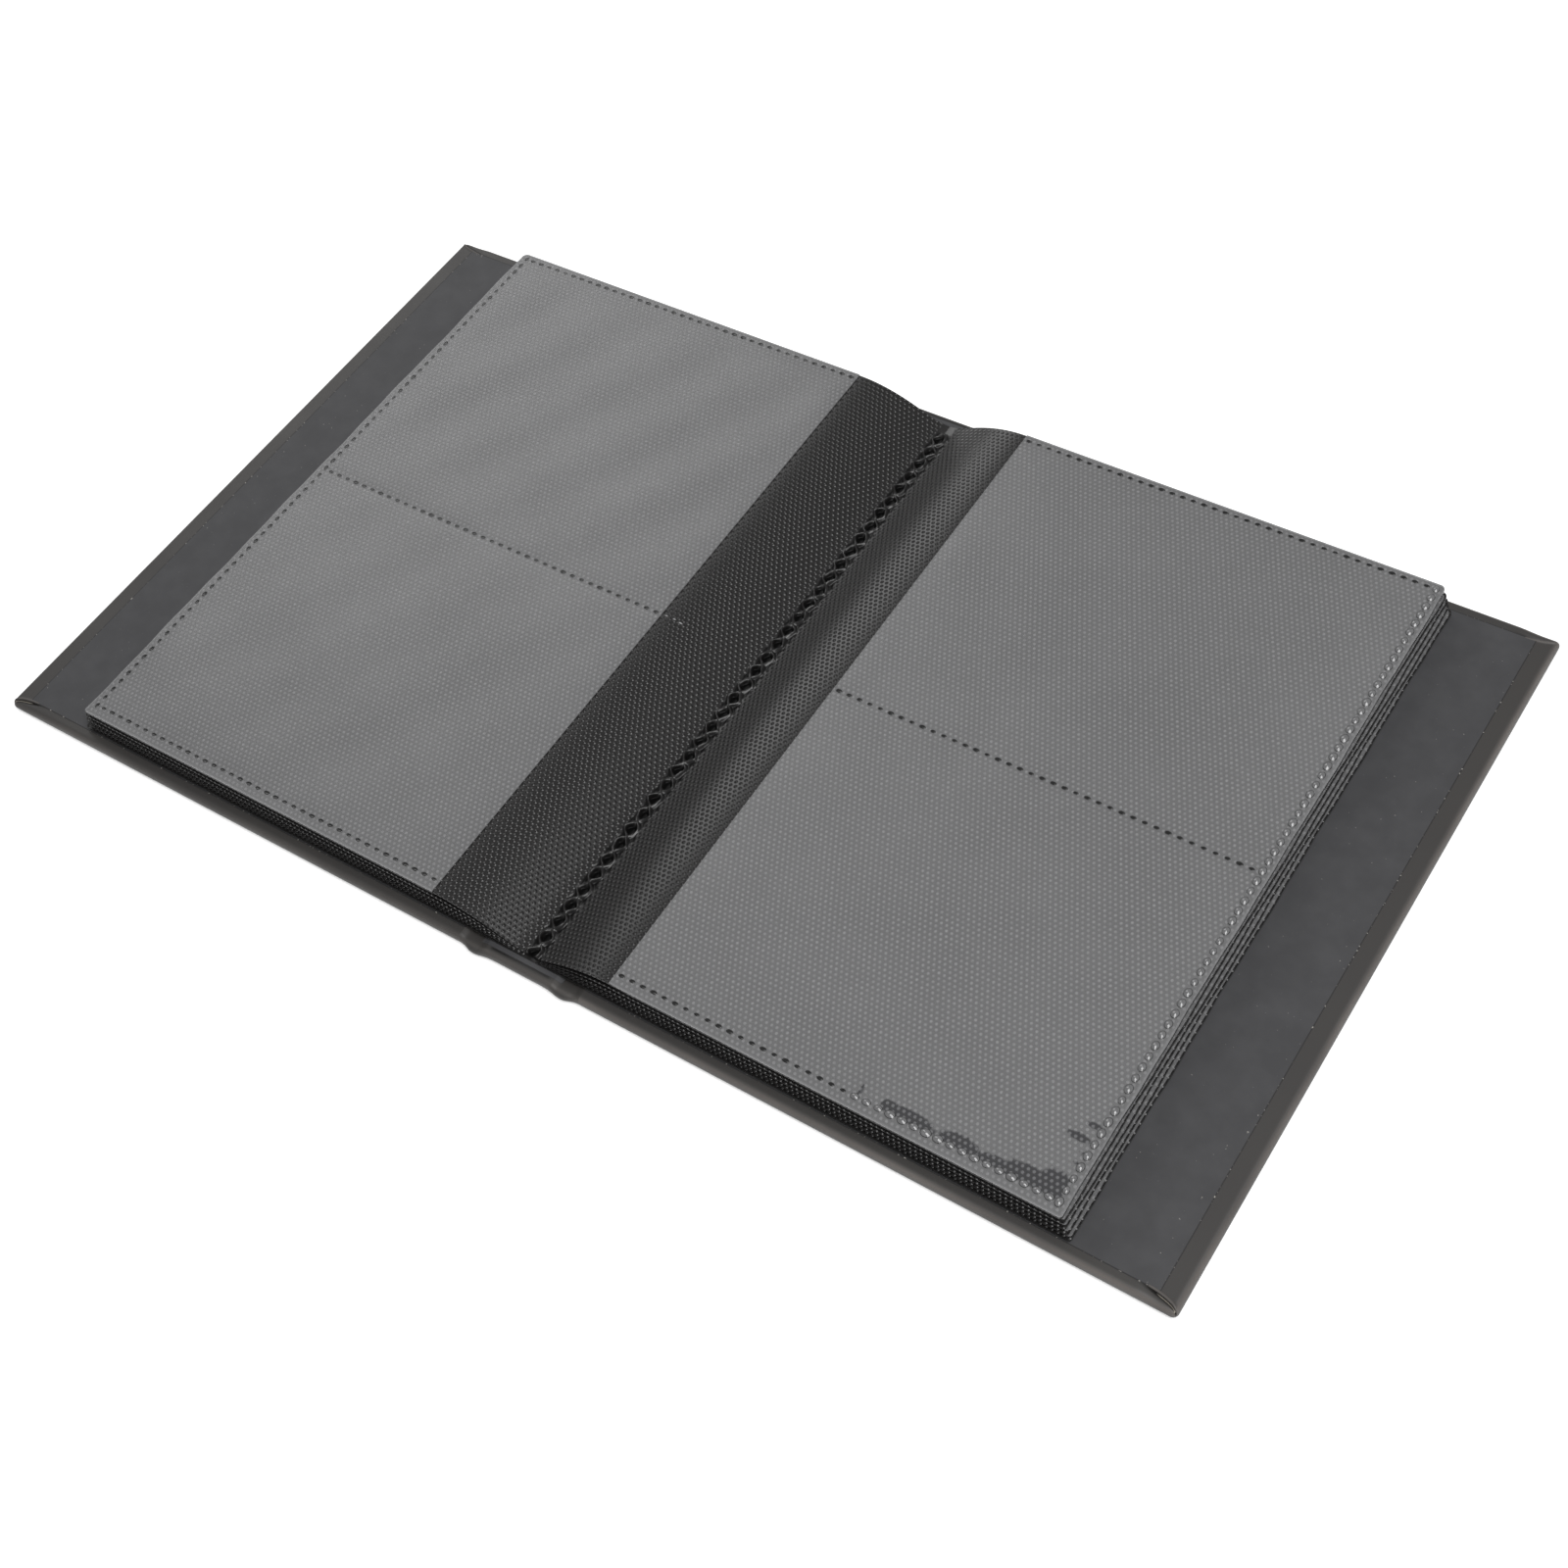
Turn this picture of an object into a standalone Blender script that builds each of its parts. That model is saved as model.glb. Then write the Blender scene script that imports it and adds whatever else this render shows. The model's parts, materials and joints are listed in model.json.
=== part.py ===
"""Open pocket album: a wrapped hardback case and a welded block of pocket leaves.

The album lies open on a table. X runs across the spread, Y along the spine and Z up.
The origin is under the middle of the spine, on the table.
"""

import math

import bmesh
import bpy
from mathutils import Matrix, Vector

MM = 0.001

# Case
COVER_HEIGHT = 200.0 * MM
COVER_WIDTH = 154.0 * MM
SPINE_WIDTH = 20.0 * MM
HINGE_GAP = 8.0 * MM
SKIN = 0.5 * MM
BOARD = 1.8 * MM
LINING = 0.35 * MM
TURN_IN_SIDE = 5.0 * MM
TURN_IN_END = 3.0 * MM
EDGE_ROUND = 1.2 * MM
GROOVE_SKIN = 1.0 * MM
GROOVE_DEPTH = 0.45 * MM
GROOVE_WIDTH = 5.0 * MM
SPINE_LINING_WIDTH = 24.0 * MM

# Leaves
LEAVES = 5
PAGE_INSET = 4.0 * MM
LEAF_REACH = 143.3 * MM
FILM_WIDTH = 117.0 * MM
PAGE_CORNER = 1.5 * MM
CREEP = 0.6 * MM
BACKING = 0.4 * MM
FILM = 0.15 * MM
POCKET_RISE = 0.2 * MM
POCKET_RAMP = 1.5 * MM
WELD_LAND = 3.4 * MM
MID_LAND = 4.0 * MM

# Binding
WELD_X = 2.0 * MM
GUTTER_PITCH = 0.65 * MM
GUTTER_DIP = 1.6 * MM
BARREL = 3.2 * MM
LEFT_HUMP = 0.0 * MM
RIGHT_HUMP = 0.4 * MM
WELD_PITCH = 5.0 * MM
WELD_BAND = 3.6 * MM
WELD_BAR = 0.5 * MM
WELD_BEAD = 0.3 * MM

# Clearances
GLUE_GAP = 0.2 * MM
REST_GAP = 0.3 * MM
LEAF_GAP = 0.25 * MM
BARREL_GAP = 0.6 * MM
CLOSE_GAP = 0.4 * MM
HINGE_CLEAR = 0.3 * MM

# Smoothness
STRIP_STEPS = 8
GUTTER_STEPS = 10
CORNER_STEPS = 5
ROUND_STEPS = 3
CUT_OVER = 2.0 * MM

# Sizes that follow from the case and the layers
PAGE_HEIGHT = COVER_HEIGHT - 2 * PAGE_INSET
COVER_THICK = SKIN + GLUE_GAP + BOARD + GLUE_GAP + SKIN
BOARD_TOP = SKIN + GLUE_GAP + BOARD
LINING_TOP = BOARD_TOP + GLUE_GAP + LINING
HALF_LEAF = BACKING / 2 + GLUE_GAP + FILM + POCKET_RISE
LEAF_PITCH = 2 * HALF_LEAF + LEAF_GAP
FIRST_LEAF = COVER_THICK + REST_GAP + HALF_LEAF
LEAF_TOP = FIRST_LEAF + (LEAVES - 1) * LEAF_PITCH + HALF_LEAF
GUTTER_LOW = LINING_TOP + REST_GAP + BACKING / 2

# Hinge lines
COVER_AXIS = Vector((SPINE_WIDTH / 2 + HINGE_GAP / 2, 0, COVER_THICK / 2))
BARREL_HEIGHT = GUTTER_LOW + GUTTER_DIP + (LEAVES - 1) * GUTTER_PITCH / 2
BARREL_REACH = LEAF_TOP - BARREL_HEIGHT + CLOSE_GAP

LEFT = -1
RIGHT = 1
SIDE_NAME = {LEFT: "left", RIGHT: "right"}
HUMP = {LEFT: LEFT_HUMP, RIGHT: RIGHT_HUMP}


def clear_scene():
    """Remove every object, so the model starts from an empty scene."""
    for thing in list(bpy.data.objects):
        bpy.data.objects.remove(thing, do_unlink=True)


def finish(name, colour, roughness, alpha=1.0):
    """A Principled material with a colour, a roughness and an opacity."""
    material = bpy.data.materials.new(name)
    material.use_nodes = True
    shader = material.node_tree.nodes["Principled BSDF"]
    shader.inputs["Base Color"].default_value = (*colour, 1.0)
    shader.inputs["Roughness"].default_value = roughness
    shader.inputs["Metallic"].default_value = 0.0
    shader.inputs["Alpha"].default_value = alpha
    return material


def add_object(name, mesh, material, axis=None):
    """Link a mesh as a named piece, hung on the empty of its hinge line if it has one."""
    piece = bpy.data.objects.new(name, mesh)
    bpy.context.collection.objects.link(piece)
    mesh.materials.append(material)
    if axis is not None:
        mesh.transform(Matrix.Translation(-axis["at"]))
        piece.parent = axis["empty"]
    return piece


def add_axis(name, at, parent=None):
    """An empty on a hinge line, carried by the hinge line below it in the stack."""
    empty = bpy.data.objects.new(name, None)
    bpy.context.collection.objects.link(empty)
    empty.empty_display_size = 10 * MM
    if parent is None:
        empty.location = at
    else:
        empty.parent = parent["empty"]
        empty.location = at - parent["at"]
    return {"empty": empty, "at": at}


def mesh_from(name, points, faces):
    """A mesh from its points and faces, with the faces turned outwards."""
    mesh = bpy.data.meshes.new(name)
    mesh.from_pydata(points, [], faces)
    shape = bmesh.new()
    shape.from_mesh(mesh)
    bmesh.ops.recalc_face_normals(shape, faces=shape.faces)
    shape.to_mesh(mesh)
    shape.free()
    return mesh


def box_mesh(name, low, high):
    """A box between two corners."""
    shape = bmesh.new()
    bmesh.ops.create_cube(shape, size=1.0)
    size = Vector(high) - Vector(low)
    middle = (Vector(high) + Vector(low)) / 2
    bmesh.ops.transform(shape, matrix=Matrix.Translation(middle) @ Matrix.Diagonal((*size, 1)), verts=shape.verts)
    mesh = bpy.data.meshes.new(name)
    shape.to_mesh(mesh)
    shape.free()
    return mesh


def round_edges(mesh, chosen, radius):
    """Round the edges for which chosen(edge) is true."""
    shape = bmesh.new()
    shape.from_mesh(mesh)
    edges = [edge for edge in shape.edges if chosen(edge)]
    bmesh.ops.bevel(shape, geom=edges, offset=radius, segments=ROUND_STEPS, profile=0.5, affect="EDGES")
    shape.to_mesh(mesh)
    shape.free()


def cut(piece, name, low, high):
    """Cut a box out of a piece."""
    cutter = bpy.data.objects.new(name, box_mesh(name, low, high))
    bpy.context.collection.objects.link(cutter)
    cutter.hide_render = True
    cutter.display_type = "WIRE"
    cutter.parent = piece.parent
    if piece.parent is not None:
        cutter.data.transform(Matrix.Translation(-piece.parent.matrix_world.translation))
    change = piece.modifiers.new(name, "BOOLEAN")
    change.operation = "DIFFERENCE"
    change.solver = "EXACT"
    change.object = cutter


def thicken(piece, thickness):
    """Give a sheet its thickness, half on each side."""
    change = piece.modifiers.new("thickness", "SOLIDIFY")
    change.thickness = thickness
    change.offset = 0.0
    change.use_even_offset = True


def sheet_mesh(name, profile, half_height):
    """A sheet that follows a profile of (x, z) points and runs along Y."""
    points = []
    for x, z in profile:
        points.append((x, -half_height, z))
        points.append((x, half_height, z))
    faces = []
    for step in range(len(profile) - 1):
        first = 2 * step
        faces.append((first, first + 2, first + 3, first + 1))
    return mesh_from(name, points, faces)


# Case pieces


def cover_span(side):
    """The inner and the outer edge of a cover along X."""
    inner = SPINE_WIDTH / 2 + HINGE_GAP
    return sorted((side * inner, side * (inner + COVER_WIDTH)))


def make_cover(side, axis, cloth, core, paper):
    """One cover: a board in a skin turned in on three edges, and the lining between the turn-ins."""
    label = SIDE_NAME[side]
    low, high = cover_span(side)
    end = COVER_HEIGHT / 2
    outer = max(low * side, high * side) * side
    inner = min(low * side, high * side) * side

    def at_rim(edge):
        return not all(abs(v.co.x - inner) < GLUE_GAP for v in edge.verts)

    slab = box_mesh(label + "_skin", (low, -end, 0), (high, end, COVER_THICK))
    round_edges(slab, at_rim, EDGE_ROUND)
    skin = add_object(label + "_skin", slab, cloth, axis)

    def reach(depth):
        return sorted((inner - side * CUT_OVER, outer - side * depth))

    pocket = reach(SKIN)
    cut(
        skin,
        label + "_board_pocket",
        (pocket[0], -end + SKIN, SKIN),
        (pocket[1], end - SKIN, COVER_THICK - SKIN),
    )
    window = reach(TURN_IN_SIDE)
    cut(
        skin,
        label + "_lining_window",
        (window[0], -end + TURN_IN_END, COVER_THICK - 2 * SKIN),
        (window[1], end - TURN_IN_END, COVER_THICK + CUT_OVER),
    )

    edges = sorted((inner, outer - side * (SKIN + GLUE_GAP)))
    board_end = end - SKIN - GLUE_GAP
    board = box_mesh(
        label + "_board",
        (edges[0], -board_end, SKIN + GLUE_GAP),
        (edges[1], board_end, BOARD_TOP),
    )
    add_object(label + "_board", board, core, axis)

    edges = sorted((inner, outer - side * (TURN_IN_SIDE + GLUE_GAP)))
    lining_end = end - TURN_IN_END - GLUE_GAP
    lining = box_mesh(
        label + "_lining",
        (edges[0], -lining_end, BOARD_TOP + GLUE_GAP),
        (edges[1], lining_end, LINING_TOP),
    )
    add_object(label + "_lining", lining, paper, axis)


def make_spine(cloth, core, paper):
    """The spine: a narrow board in the skin, a groove on each side, and the strip over both."""
    end = COVER_HEIGHT / 2
    half_board = SPINE_WIDTH / 2
    flange = half_board + HINGE_GAP - HINGE_CLEAR

    profile = [
        (-flange, 0),
        (flange, 0),
        (flange, GROOVE_SKIN),
        (half_board, GROOVE_SKIN),
        (half_board, COVER_THICK),
        (-half_board, COVER_THICK),
        (-half_board, GROOVE_SKIN),
        (-flange, GROOVE_SKIN),
    ]
    count = len(profile)
    points = [(x, y, z) for y in (-end, end) for x, z in profile]
    faces = [tuple(range(count)), tuple(range(count, 2 * count))]
    for first in range(count):
        second = (first + 1) % count
        faces.append((first, second, count + second, count + first))
    body = mesh_from("spine_skin", points, faces)

    def at_end(edge):
        along_x = abs(edge.verts[0].co.z - edge.verts[1].co.z) < GLUE_GAP
        at_y = all(abs(abs(v.co.y) - end) < GLUE_GAP for v in edge.verts)
        high = all(v.co.z > COVER_THICK - GLUE_GAP for v in edge.verts)
        return along_x and at_y and high

    round_edges(body, at_end, EDGE_ROUND)
    skin = add_object("spine_skin", body, cloth)
    wall = half_board - SKIN
    cut(skin, "spine_board_pocket", (-wall, -end + SKIN, SKIN), (wall, end - SKIN, COVER_THICK - SKIN))
    cut(
        skin,
        "spine_window",
        (-half_board - CUT_OVER, -end + TURN_IN_END, GROOVE_SKIN),
        (half_board + CUT_OVER, end - TURN_IN_END, COVER_THICK + CUT_OVER),
    )
    for side in (LEFT, RIGHT):
        groove = sorted((side * (COVER_AXIS.x - GROOVE_WIDTH / 2), side * (COVER_AXIS.x + GROOVE_WIDTH / 2)))
        cut(
            skin,
            SIDE_NAME[side] + "_groove",
            (groove[0], -end - CUT_OVER, -CUT_OVER),
            (groove[1], end + CUT_OVER, GROOVE_DEPTH),
        )

    board_half = wall - GLUE_GAP
    board_end = end - SKIN - GLUE_GAP
    board = box_mesh(
        "spine_board",
        (-board_half, -board_end, SKIN + GLUE_GAP),
        (board_half, board_end, BOARD_TOP),
    )
    add_object("spine_board", board, core)

    top = LINING_TOP - LINING / 2
    foot = GROOVE_SKIN + GLUE_GAP + LINING / 2
    reach = SPINE_LINING_WIDTH / 2
    lining_end = PAGE_HEIGHT / 2
    bend = half_board + LINING / 2 + GLUE_GAP
    strip = [(-reach, foot), (-bend, foot), (-board_half, top), (board_half, top), (bend, foot), (reach, foot)]
    lining = add_object("spine_lining", sheet_mesh("spine_lining", strip, lining_end), paper)
    thicken(lining, LINING)


# Leaf block


def barrel_offset(number):
    """How far leaf number sits above the hinge barrel's axis where it is bound."""
    return (number - (LEAVES - 1) / 2) * GUTTER_PITCH


def along_barrel(number, radius):
    """Distance from the weld to a circle about the barrel's axis, at a leaf's height."""
    return BARREL_REACH + math.sqrt(radius**2 - barrel_offset(number) ** 2)


def make_gutter(number, plastic):
    """The bound middle of one sheet: a shallow valley between the two hinge barrels."""
    reach = along_barrel(number, BARREL - BARREL_GAP)
    low = GUTTER_LOW + number * GUTTER_PITCH
    profile = []
    for step in range(GUTTER_STEPS + 1):
        part = 2 * step / GUTTER_STEPS - 1
        profile.append((WELD_X + reach * part, low + GUTTER_DIP * part**2))
    name = "gutter_" + str(number + 1)
    gutter = add_object(name, sheet_mesh(name, profile, PAGE_HEIGHT / 2), plastic)
    thicken(gutter, BACKING)


def make_weld(plastic):
    """The weld bead: two zigzag bars that cross on the centre line and meet at the band's edges."""
    bottom = GUTTER_LOW + (LEAVES - 1) * GUTTER_PITCH + BACKING / 2 + REST_GAP
    count = int(PAGE_HEIGHT / WELD_PITCH)
    half_band = WELD_BAND / 2
    bar = WELD_BAR
    shape = bmesh.new()
    made = {}

    def point(x, y):
        key = (round(x / MM, 4), round(y / MM, 4))
        if key not in made:
            made[key] = shape.verts.new((WELD_X + x, y, bottom))
        return made[key]

    for number in range(count):
        y = (number - (count - 1) / 2) * WELD_PITCH
        shape.faces.new([point(bar, y), point(0, y + bar), point(-bar, y), point(0, y - bar)])
        if number == count - 1:
            continue
        middle = y + WELD_PITCH / 2
        after = y + WELD_PITCH
        for side in (LEFT, RIGHT):
            inner = point(side * (half_band - bar), middle)
            lower = point(side * half_band, middle - bar)
            upper = point(side * half_band, middle + bar)
            shape.faces.new([point(0, y + bar), point(side * bar, y), lower, inner])
            shape.faces.new([inner, upper, point(side * bar, after), point(0, after - bar)])
            shape.faces.new([inner, lower, upper])
    bmesh.ops.recalc_face_normals(shape, faces=shape.faces)
    raised = bmesh.ops.extrude_face_region(shape, geom=shape.faces[:])
    tops = [part for part in raised["geom"] if isinstance(part, bmesh.types.BMVert)]
    bmesh.ops.translate(shape, verts=tops, vec=(0, 0, WELD_BEAD))
    bmesh.ops.recalc_face_normals(shape, faces=shape.faces)
    mesh = bpy.data.meshes.new("centre_weld")
    shape.to_mesh(mesh)
    shape.free()
    add_object("centre_weld", mesh, plastic)


def leaf_height(number):
    """The middle of a leaf's backing on the page, above the table."""
    return FIRST_LEAF + number * LEAF_PITCH


def leaf_span(number):
    """Where a leaf's film starts and ends along X. Lower leaves creep out past the ones above."""
    outer = LEAF_REACH + (LEAVES - 1 - number) * CREEP
    return outer - FILM_WIDTH, outer


def corner(middle_x, middle_y, side, radius, start):
    """A quarter circle of points from an angle, mirrored in X for the left side."""
    points = []
    for step in range(CORNER_STEPS + 1):
        angle = start + step / CORNER_STEPS * math.pi / 2
        points.append((side * (middle_x + radius * math.cos(angle)), middle_y + radius * math.sin(angle)))
    return points


def make_backing(side, number, name, axis, plastic):
    """A leaf's backing: a flat page with round outer corners and a strip that bends down to the weld."""
    half = PAGE_HEIGHT / 2
    inner, outer = leaf_span(number)
    page_z = leaf_height(number)
    bound_z = BARREL_HEIGHT + barrel_offset(number)
    start = along_barrel(number, BARREL) + side * WELD_X
    hump = HUMP[side] * (number + 1) / LEAVES
    points = []
    faces = []
    for step in range(STRIP_STEPS + 1):
        part = step / STRIP_STEPS
        x = start + (inner - start) * part
        z = bound_z + (page_z - bound_z) * (1 - (1 - part) ** 2) + hump * math.sin(math.pi * part) ** 2
        points.append((side * x, -half, z))
        points.append((side * x, half, z))
        if step:
            last = 2 * step
            faces.append((last - 2, last, last + 1, last - 1))
    near = corner(outer - PAGE_CORNER, -half + PAGE_CORNER, side, PAGE_CORNER, -math.pi / 2)
    far = corner(outer - PAGE_CORNER, half - PAGE_CORNER, side, PAGE_CORNER, 0)
    first = len(points)
    points += [(x, y, page_z) for x, y in near + far]
    faces.append((first - 2, *range(first, len(points)), first - 1))
    backing = add_object(name + "_backing", mesh_from(name + "_backing", points, faces), plastic, axis)
    thicken(backing, BACKING)


def make_film(side, number, name, face, axis, clear):
    """A film with a flat welded rim, a welded line across the middle and two raised pocket panels."""
    half = PAGE_HEIGHT / 2
    inner, outer = leaf_span(number)
    level = leaf_height(number) + face * (BACKING / 2 + GLUE_GAP + FILM / 2)
    along = [inner, outer - WELD_LAND - POCKET_RAMP, outer - WELD_LAND, outer]
    rim = half - WELD_LAND
    seam = MID_LAND / 2
    across = [-half, -rim, -rim + POCKET_RAMP, -seam - POCKET_RAMP, -seam]
    across += [-y for y in reversed(across)]
    panel_rows = {2, 3, 6, 7}

    points = []
    for column, x in enumerate(along):
        for row, y in enumerate(across):
            raised = column < 2 and row in panel_rows
            points.append((side * x, y, level + face * POCKET_RISE * raised))

    def index(column, row):
        return column * len(across) + row

    last_row = len(across) - 2
    faces = []
    for column in range(len(along) - 1):
        for row in range(len(across) - 1):
            ring = [index(column, row), index(column + 1, row), index(column + 1, row + 1), index(column, row + 1)]
            if column == len(along) - 2 and row in (0, last_row):
                sign = -1 if row == 0 else 1
                arc = corner(
                    outer - PAGE_CORNER,
                    sign * (half - PAGE_CORNER),
                    side,
                    PAGE_CORNER,
                    -math.pi / 2 if row == 0 else 0,
                )
                first = len(points)
                points += [(x, y, level) for x, y in arc]
                rounded = list(range(first, len(points)))
                ring = ring[:1] + rounded + ring[2:] if row == 0 else ring[:2] + rounded + ring[3:]
            faces.append(tuple(ring))
    label = name + ("_front_film" if face > 0 else "_back_film")
    mesh = mesh_from(label, points, faces)
    shape = bmesh.new()
    shape.from_mesh(mesh)
    loose = [vert for vert in shape.verts if not vert.link_faces]
    bmesh.ops.delete(shape, geom=loose, context="VERTS")
    shape.to_mesh(mesh)
    shape.free()
    film = add_object(label, mesh, clear, axis)
    thicken(film, FILM)


def make_leaves(side, plastic, clear):
    """One side's leaves, each hung on the barrel by the leaf below, so that it carries those above."""
    at = Vector((WELD_X + side * BARREL_REACH, 0, BARREL_HEIGHT))
    axis = None
    for number in range(LEAVES):
        name = SIDE_NAME[side] + "_leaf_" + str(number + 1)
        axis = add_axis(name + "_axis", at, axis)
        make_backing(side, number, name, axis, plastic)
        make_film(side, number, name, 1, axis, clear)
        make_film(side, number, name, -1, axis, clear)


def main():
    clear_scene()
    cloth = finish("black_pu_cloth", (0.055, 0.051, 0.050), 0.55)
    core = finish("greyboard", (0.35, 0.33, 0.30), 0.9)
    paper = finish("charcoal_lining", (0.078, 0.078, 0.082), 0.6)
    plastic = finish("black_embossed_polypropylene", (0.030, 0.029, 0.029), 0.4)
    clear = finish("frosted_polypropylene_film", (0.205, 0.205, 0.208), 0.35, 0.6)
    make_spine(cloth, core, paper)
    for side in (LEFT, RIGHT):
        hinge = Vector((side * COVER_AXIS.x, 0, COVER_AXIS.z))
        axis = add_axis(SIDE_NAME[side] + "_cover_axis", hinge)
        bpy.context.view_layer.update()
        make_cover(side, axis, cloth, core, paper)
    for number in range(LEAVES):
        make_gutter(number, plastic)
    make_weld(plastic)
    for side in (LEFT, RIGHT):
        make_leaves(side, plastic, clear)


main()
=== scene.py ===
# %% [markdown]
# # An open pocket album
#
# A hardback album lies open on a table. Its case is board wrapped in a black coated cloth, and its
# block is five black plastic sheets welded along the spine. Clear frosted film is welded to both faces
# of each page, which makes the pockets. The solids of the album are loaded first. Every piece made here
# is fitted to them, because the solids carry the real sizes and the hinges.
#
# All work below is in millimetres. They become Blender's metres where a mesh or a light is made.

# %% Load the solids
import json
from functools import partial

import bmesh
import bpy
import numpy as np
from mathutils import Matrix, Vector


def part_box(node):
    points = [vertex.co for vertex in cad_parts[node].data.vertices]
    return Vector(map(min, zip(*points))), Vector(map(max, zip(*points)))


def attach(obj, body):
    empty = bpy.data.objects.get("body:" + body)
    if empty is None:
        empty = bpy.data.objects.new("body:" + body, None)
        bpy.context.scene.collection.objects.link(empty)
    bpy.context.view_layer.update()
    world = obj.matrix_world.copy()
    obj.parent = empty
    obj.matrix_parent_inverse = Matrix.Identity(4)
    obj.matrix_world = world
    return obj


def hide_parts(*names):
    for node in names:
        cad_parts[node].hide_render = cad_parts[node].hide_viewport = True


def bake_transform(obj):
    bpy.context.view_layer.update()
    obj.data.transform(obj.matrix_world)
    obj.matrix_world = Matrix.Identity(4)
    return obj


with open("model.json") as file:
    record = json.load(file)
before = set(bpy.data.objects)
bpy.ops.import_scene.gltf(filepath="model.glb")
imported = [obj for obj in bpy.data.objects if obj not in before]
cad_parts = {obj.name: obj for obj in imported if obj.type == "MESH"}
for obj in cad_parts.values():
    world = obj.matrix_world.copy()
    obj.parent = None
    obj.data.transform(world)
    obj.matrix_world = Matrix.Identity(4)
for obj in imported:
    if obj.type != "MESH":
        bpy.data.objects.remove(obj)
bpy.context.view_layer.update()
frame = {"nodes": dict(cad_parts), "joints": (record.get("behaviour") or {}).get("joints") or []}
MM = 0.001
SIDES = {"left": -1, "right": 1}
LEAVES = (1, 2, 3, 4, 5)
TOP_LEAF = LEAVES[-1]
joint_at = {joint["name"]: np.array(joint["pos_m"]) / MM for joint in frame["joints"]}

# %% [markdown]
# ## Reading sizes from the solids
#
# A box round a solid gives most of the sizes that a new piece needs: where the film starts and ends,
# how high a page lies, how wide a cover is. Typing those numbers again would let the two models drift
# apart.

# %% Sizes
def span(node):
    """The lowest and the highest corner of a solid, in millimetres."""
    low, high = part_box(node)
    return np.array(low) / MM, np.array(high) / MM


def reach(node):
    """How far from the spine's middle a solid starts and ends, whichever side it is on."""
    low, high = span(node)
    return tuple(sorted((abs(low[0]), abs(high[0]))))


def leaf_name(side, leaf):
    """The name of a leaf's body. The names of its solids start with it."""
    return "%s_leaf_%d" % (side, leaf)


COVER_THICK = span("left_skin")[1][2]
COVER_END = span("left_skin")[1][1]
COVER_INNER, COVER_OUTER = reach("left_skin")
PAGE_END = span("left_leaf_5_backing")[1][1]
WELD_X = float(np.mean([span("centre_weld")[0][0], span("centre_weld")[1][0]]))
HINGE = joint_at["right_cover_hinge"]
BARREL = {side: joint_at[side + "_leaf_1_turn"] for side in SIDES}
print("cover", COVER_OUTER - COVER_INNER, "x", 2 * COVER_END, "weld at", WELD_X)

# %% [markdown]
# ## Grids
#
# Nearly everything in an album is a sheet, so nearly every piece is a grid of points: one index runs
# across the spread and the other along the spine. Heights are worked out for the whole grid at once,
# and the grid is turned into quads at the end. The points sit closer together where a shape turns
# sharply, such as along a rim.
#
# A sheet could get its thickness from a Solidify modifier. Two sheets that meet end to end would then
# shade apart, because the modifier bends the normals at each rim. So a sheet here has a top and a
# bottom of its own and a wall between them, and the edges of the wall are marked sharp.

# %% Grid helpers
def ease(start, end, value):
    """0 before start, 1 after end, and 3t^2 - 2t^3 between them."""
    t = np.clip((value - start) / (end - start), 0, 1)
    return t * t * (3 - 2 * t)


def bell(value, middle, width):
    """A bell curve: exp(-((value - middle) / width)^2)."""
    return np.exp(-(((value - middle) / width) ** 2))


def quarter_circle(a, b):
    """Shares a and b of a square corner, bent into a quarter circle: a sqrt(1 - b^2 / 2) and b sqrt(1 -
    a^2 / 2)."""
    return a * np.sqrt(1 - b**2 / 2), b * np.sqrt(1 - a**2 / 2)


def stations(*stops):
    """Places along a line. Each stop is a place and the number of steps from it to the next stop."""
    runs = [np.linspace(a, b, steps, endpoint=False) for (a, steps), (b, _) in zip(stops, stops[1:])]
    return np.concatenate([*runs, [stops[-1][0]]])


def quads(rows, columns, first=0, ring=False):
    """Corner numbers of a grid's quads. A ring joins the last column to the first."""
    number = first + np.arange(rows * columns).reshape(rows, columns)
    if ring:
        number = np.concatenate([number, number[:, :1]], axis=1)
    corners = [number[:-1, :-1], number[1:, :-1], number[1:, 1:], number[:-1, 1:]]
    return np.stack(corners, axis=-1).reshape(-1, 4)


print("a step is", ease(0, 1, 0.5), "up at its middle")

# %% Making an object
SAME_POINT = 1e-7


def add_piece(name, points, faces, materials, uv=None, paint=None, merge=False):
    """Make an object from points in millimetres and quads. uv is one (u, v) in millimetres per face
    corner, and paint one material number per quad. Merging joins points that lie at the same place."""
    mesh = bpy.data.meshes.new(name)
    mesh.vertices.add(len(points))
    mesh.vertices.foreach_set("co", (points * MM).ravel())
    mesh.loops.add(faces.size)
    mesh.loops.foreach_set("vertex_index", faces.ravel())
    mesh.polygons.add(len(faces))
    mesh.polygons.foreach_set("loop_start", np.arange(0, faces.size, 4))
    for material in materials:
        mesh.materials.append(material)
    if paint is not None:
        mesh.polygons.foreach_set("material_index", paint)
    mesh.update(calc_edges=True)
    if uv is not None:
        mesh.uv_layers.new(name="sheet").data.foreach_set("uv", uv.ravel())
    mesh.shade_smooth()
    if merge:
        shape = bmesh.new()
        shape.from_mesh(mesh)
        bmesh.ops.remove_doubles(shape, verts=shape.verts, dist=SAME_POINT)
        bmesh.ops.recalc_face_normals(shape, faces=shape.faces)
        shape.to_mesh(mesh)
        shape.free()
    piece = bpy.data.objects.new(name, mesh)
    bpy.context.collection.objects.link(piece)
    return piece


def mark(piece, name, values):
    """Store one number per point on a piece, for its material to read."""
    numbers = values.ravel().astype(np.float32)
    piece.data.attributes.new(name, "FLOAT", "POINT").data.foreach_set("value", numbers)


print("points closer than", SAME_POINT / MM, "mm are merged")

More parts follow.
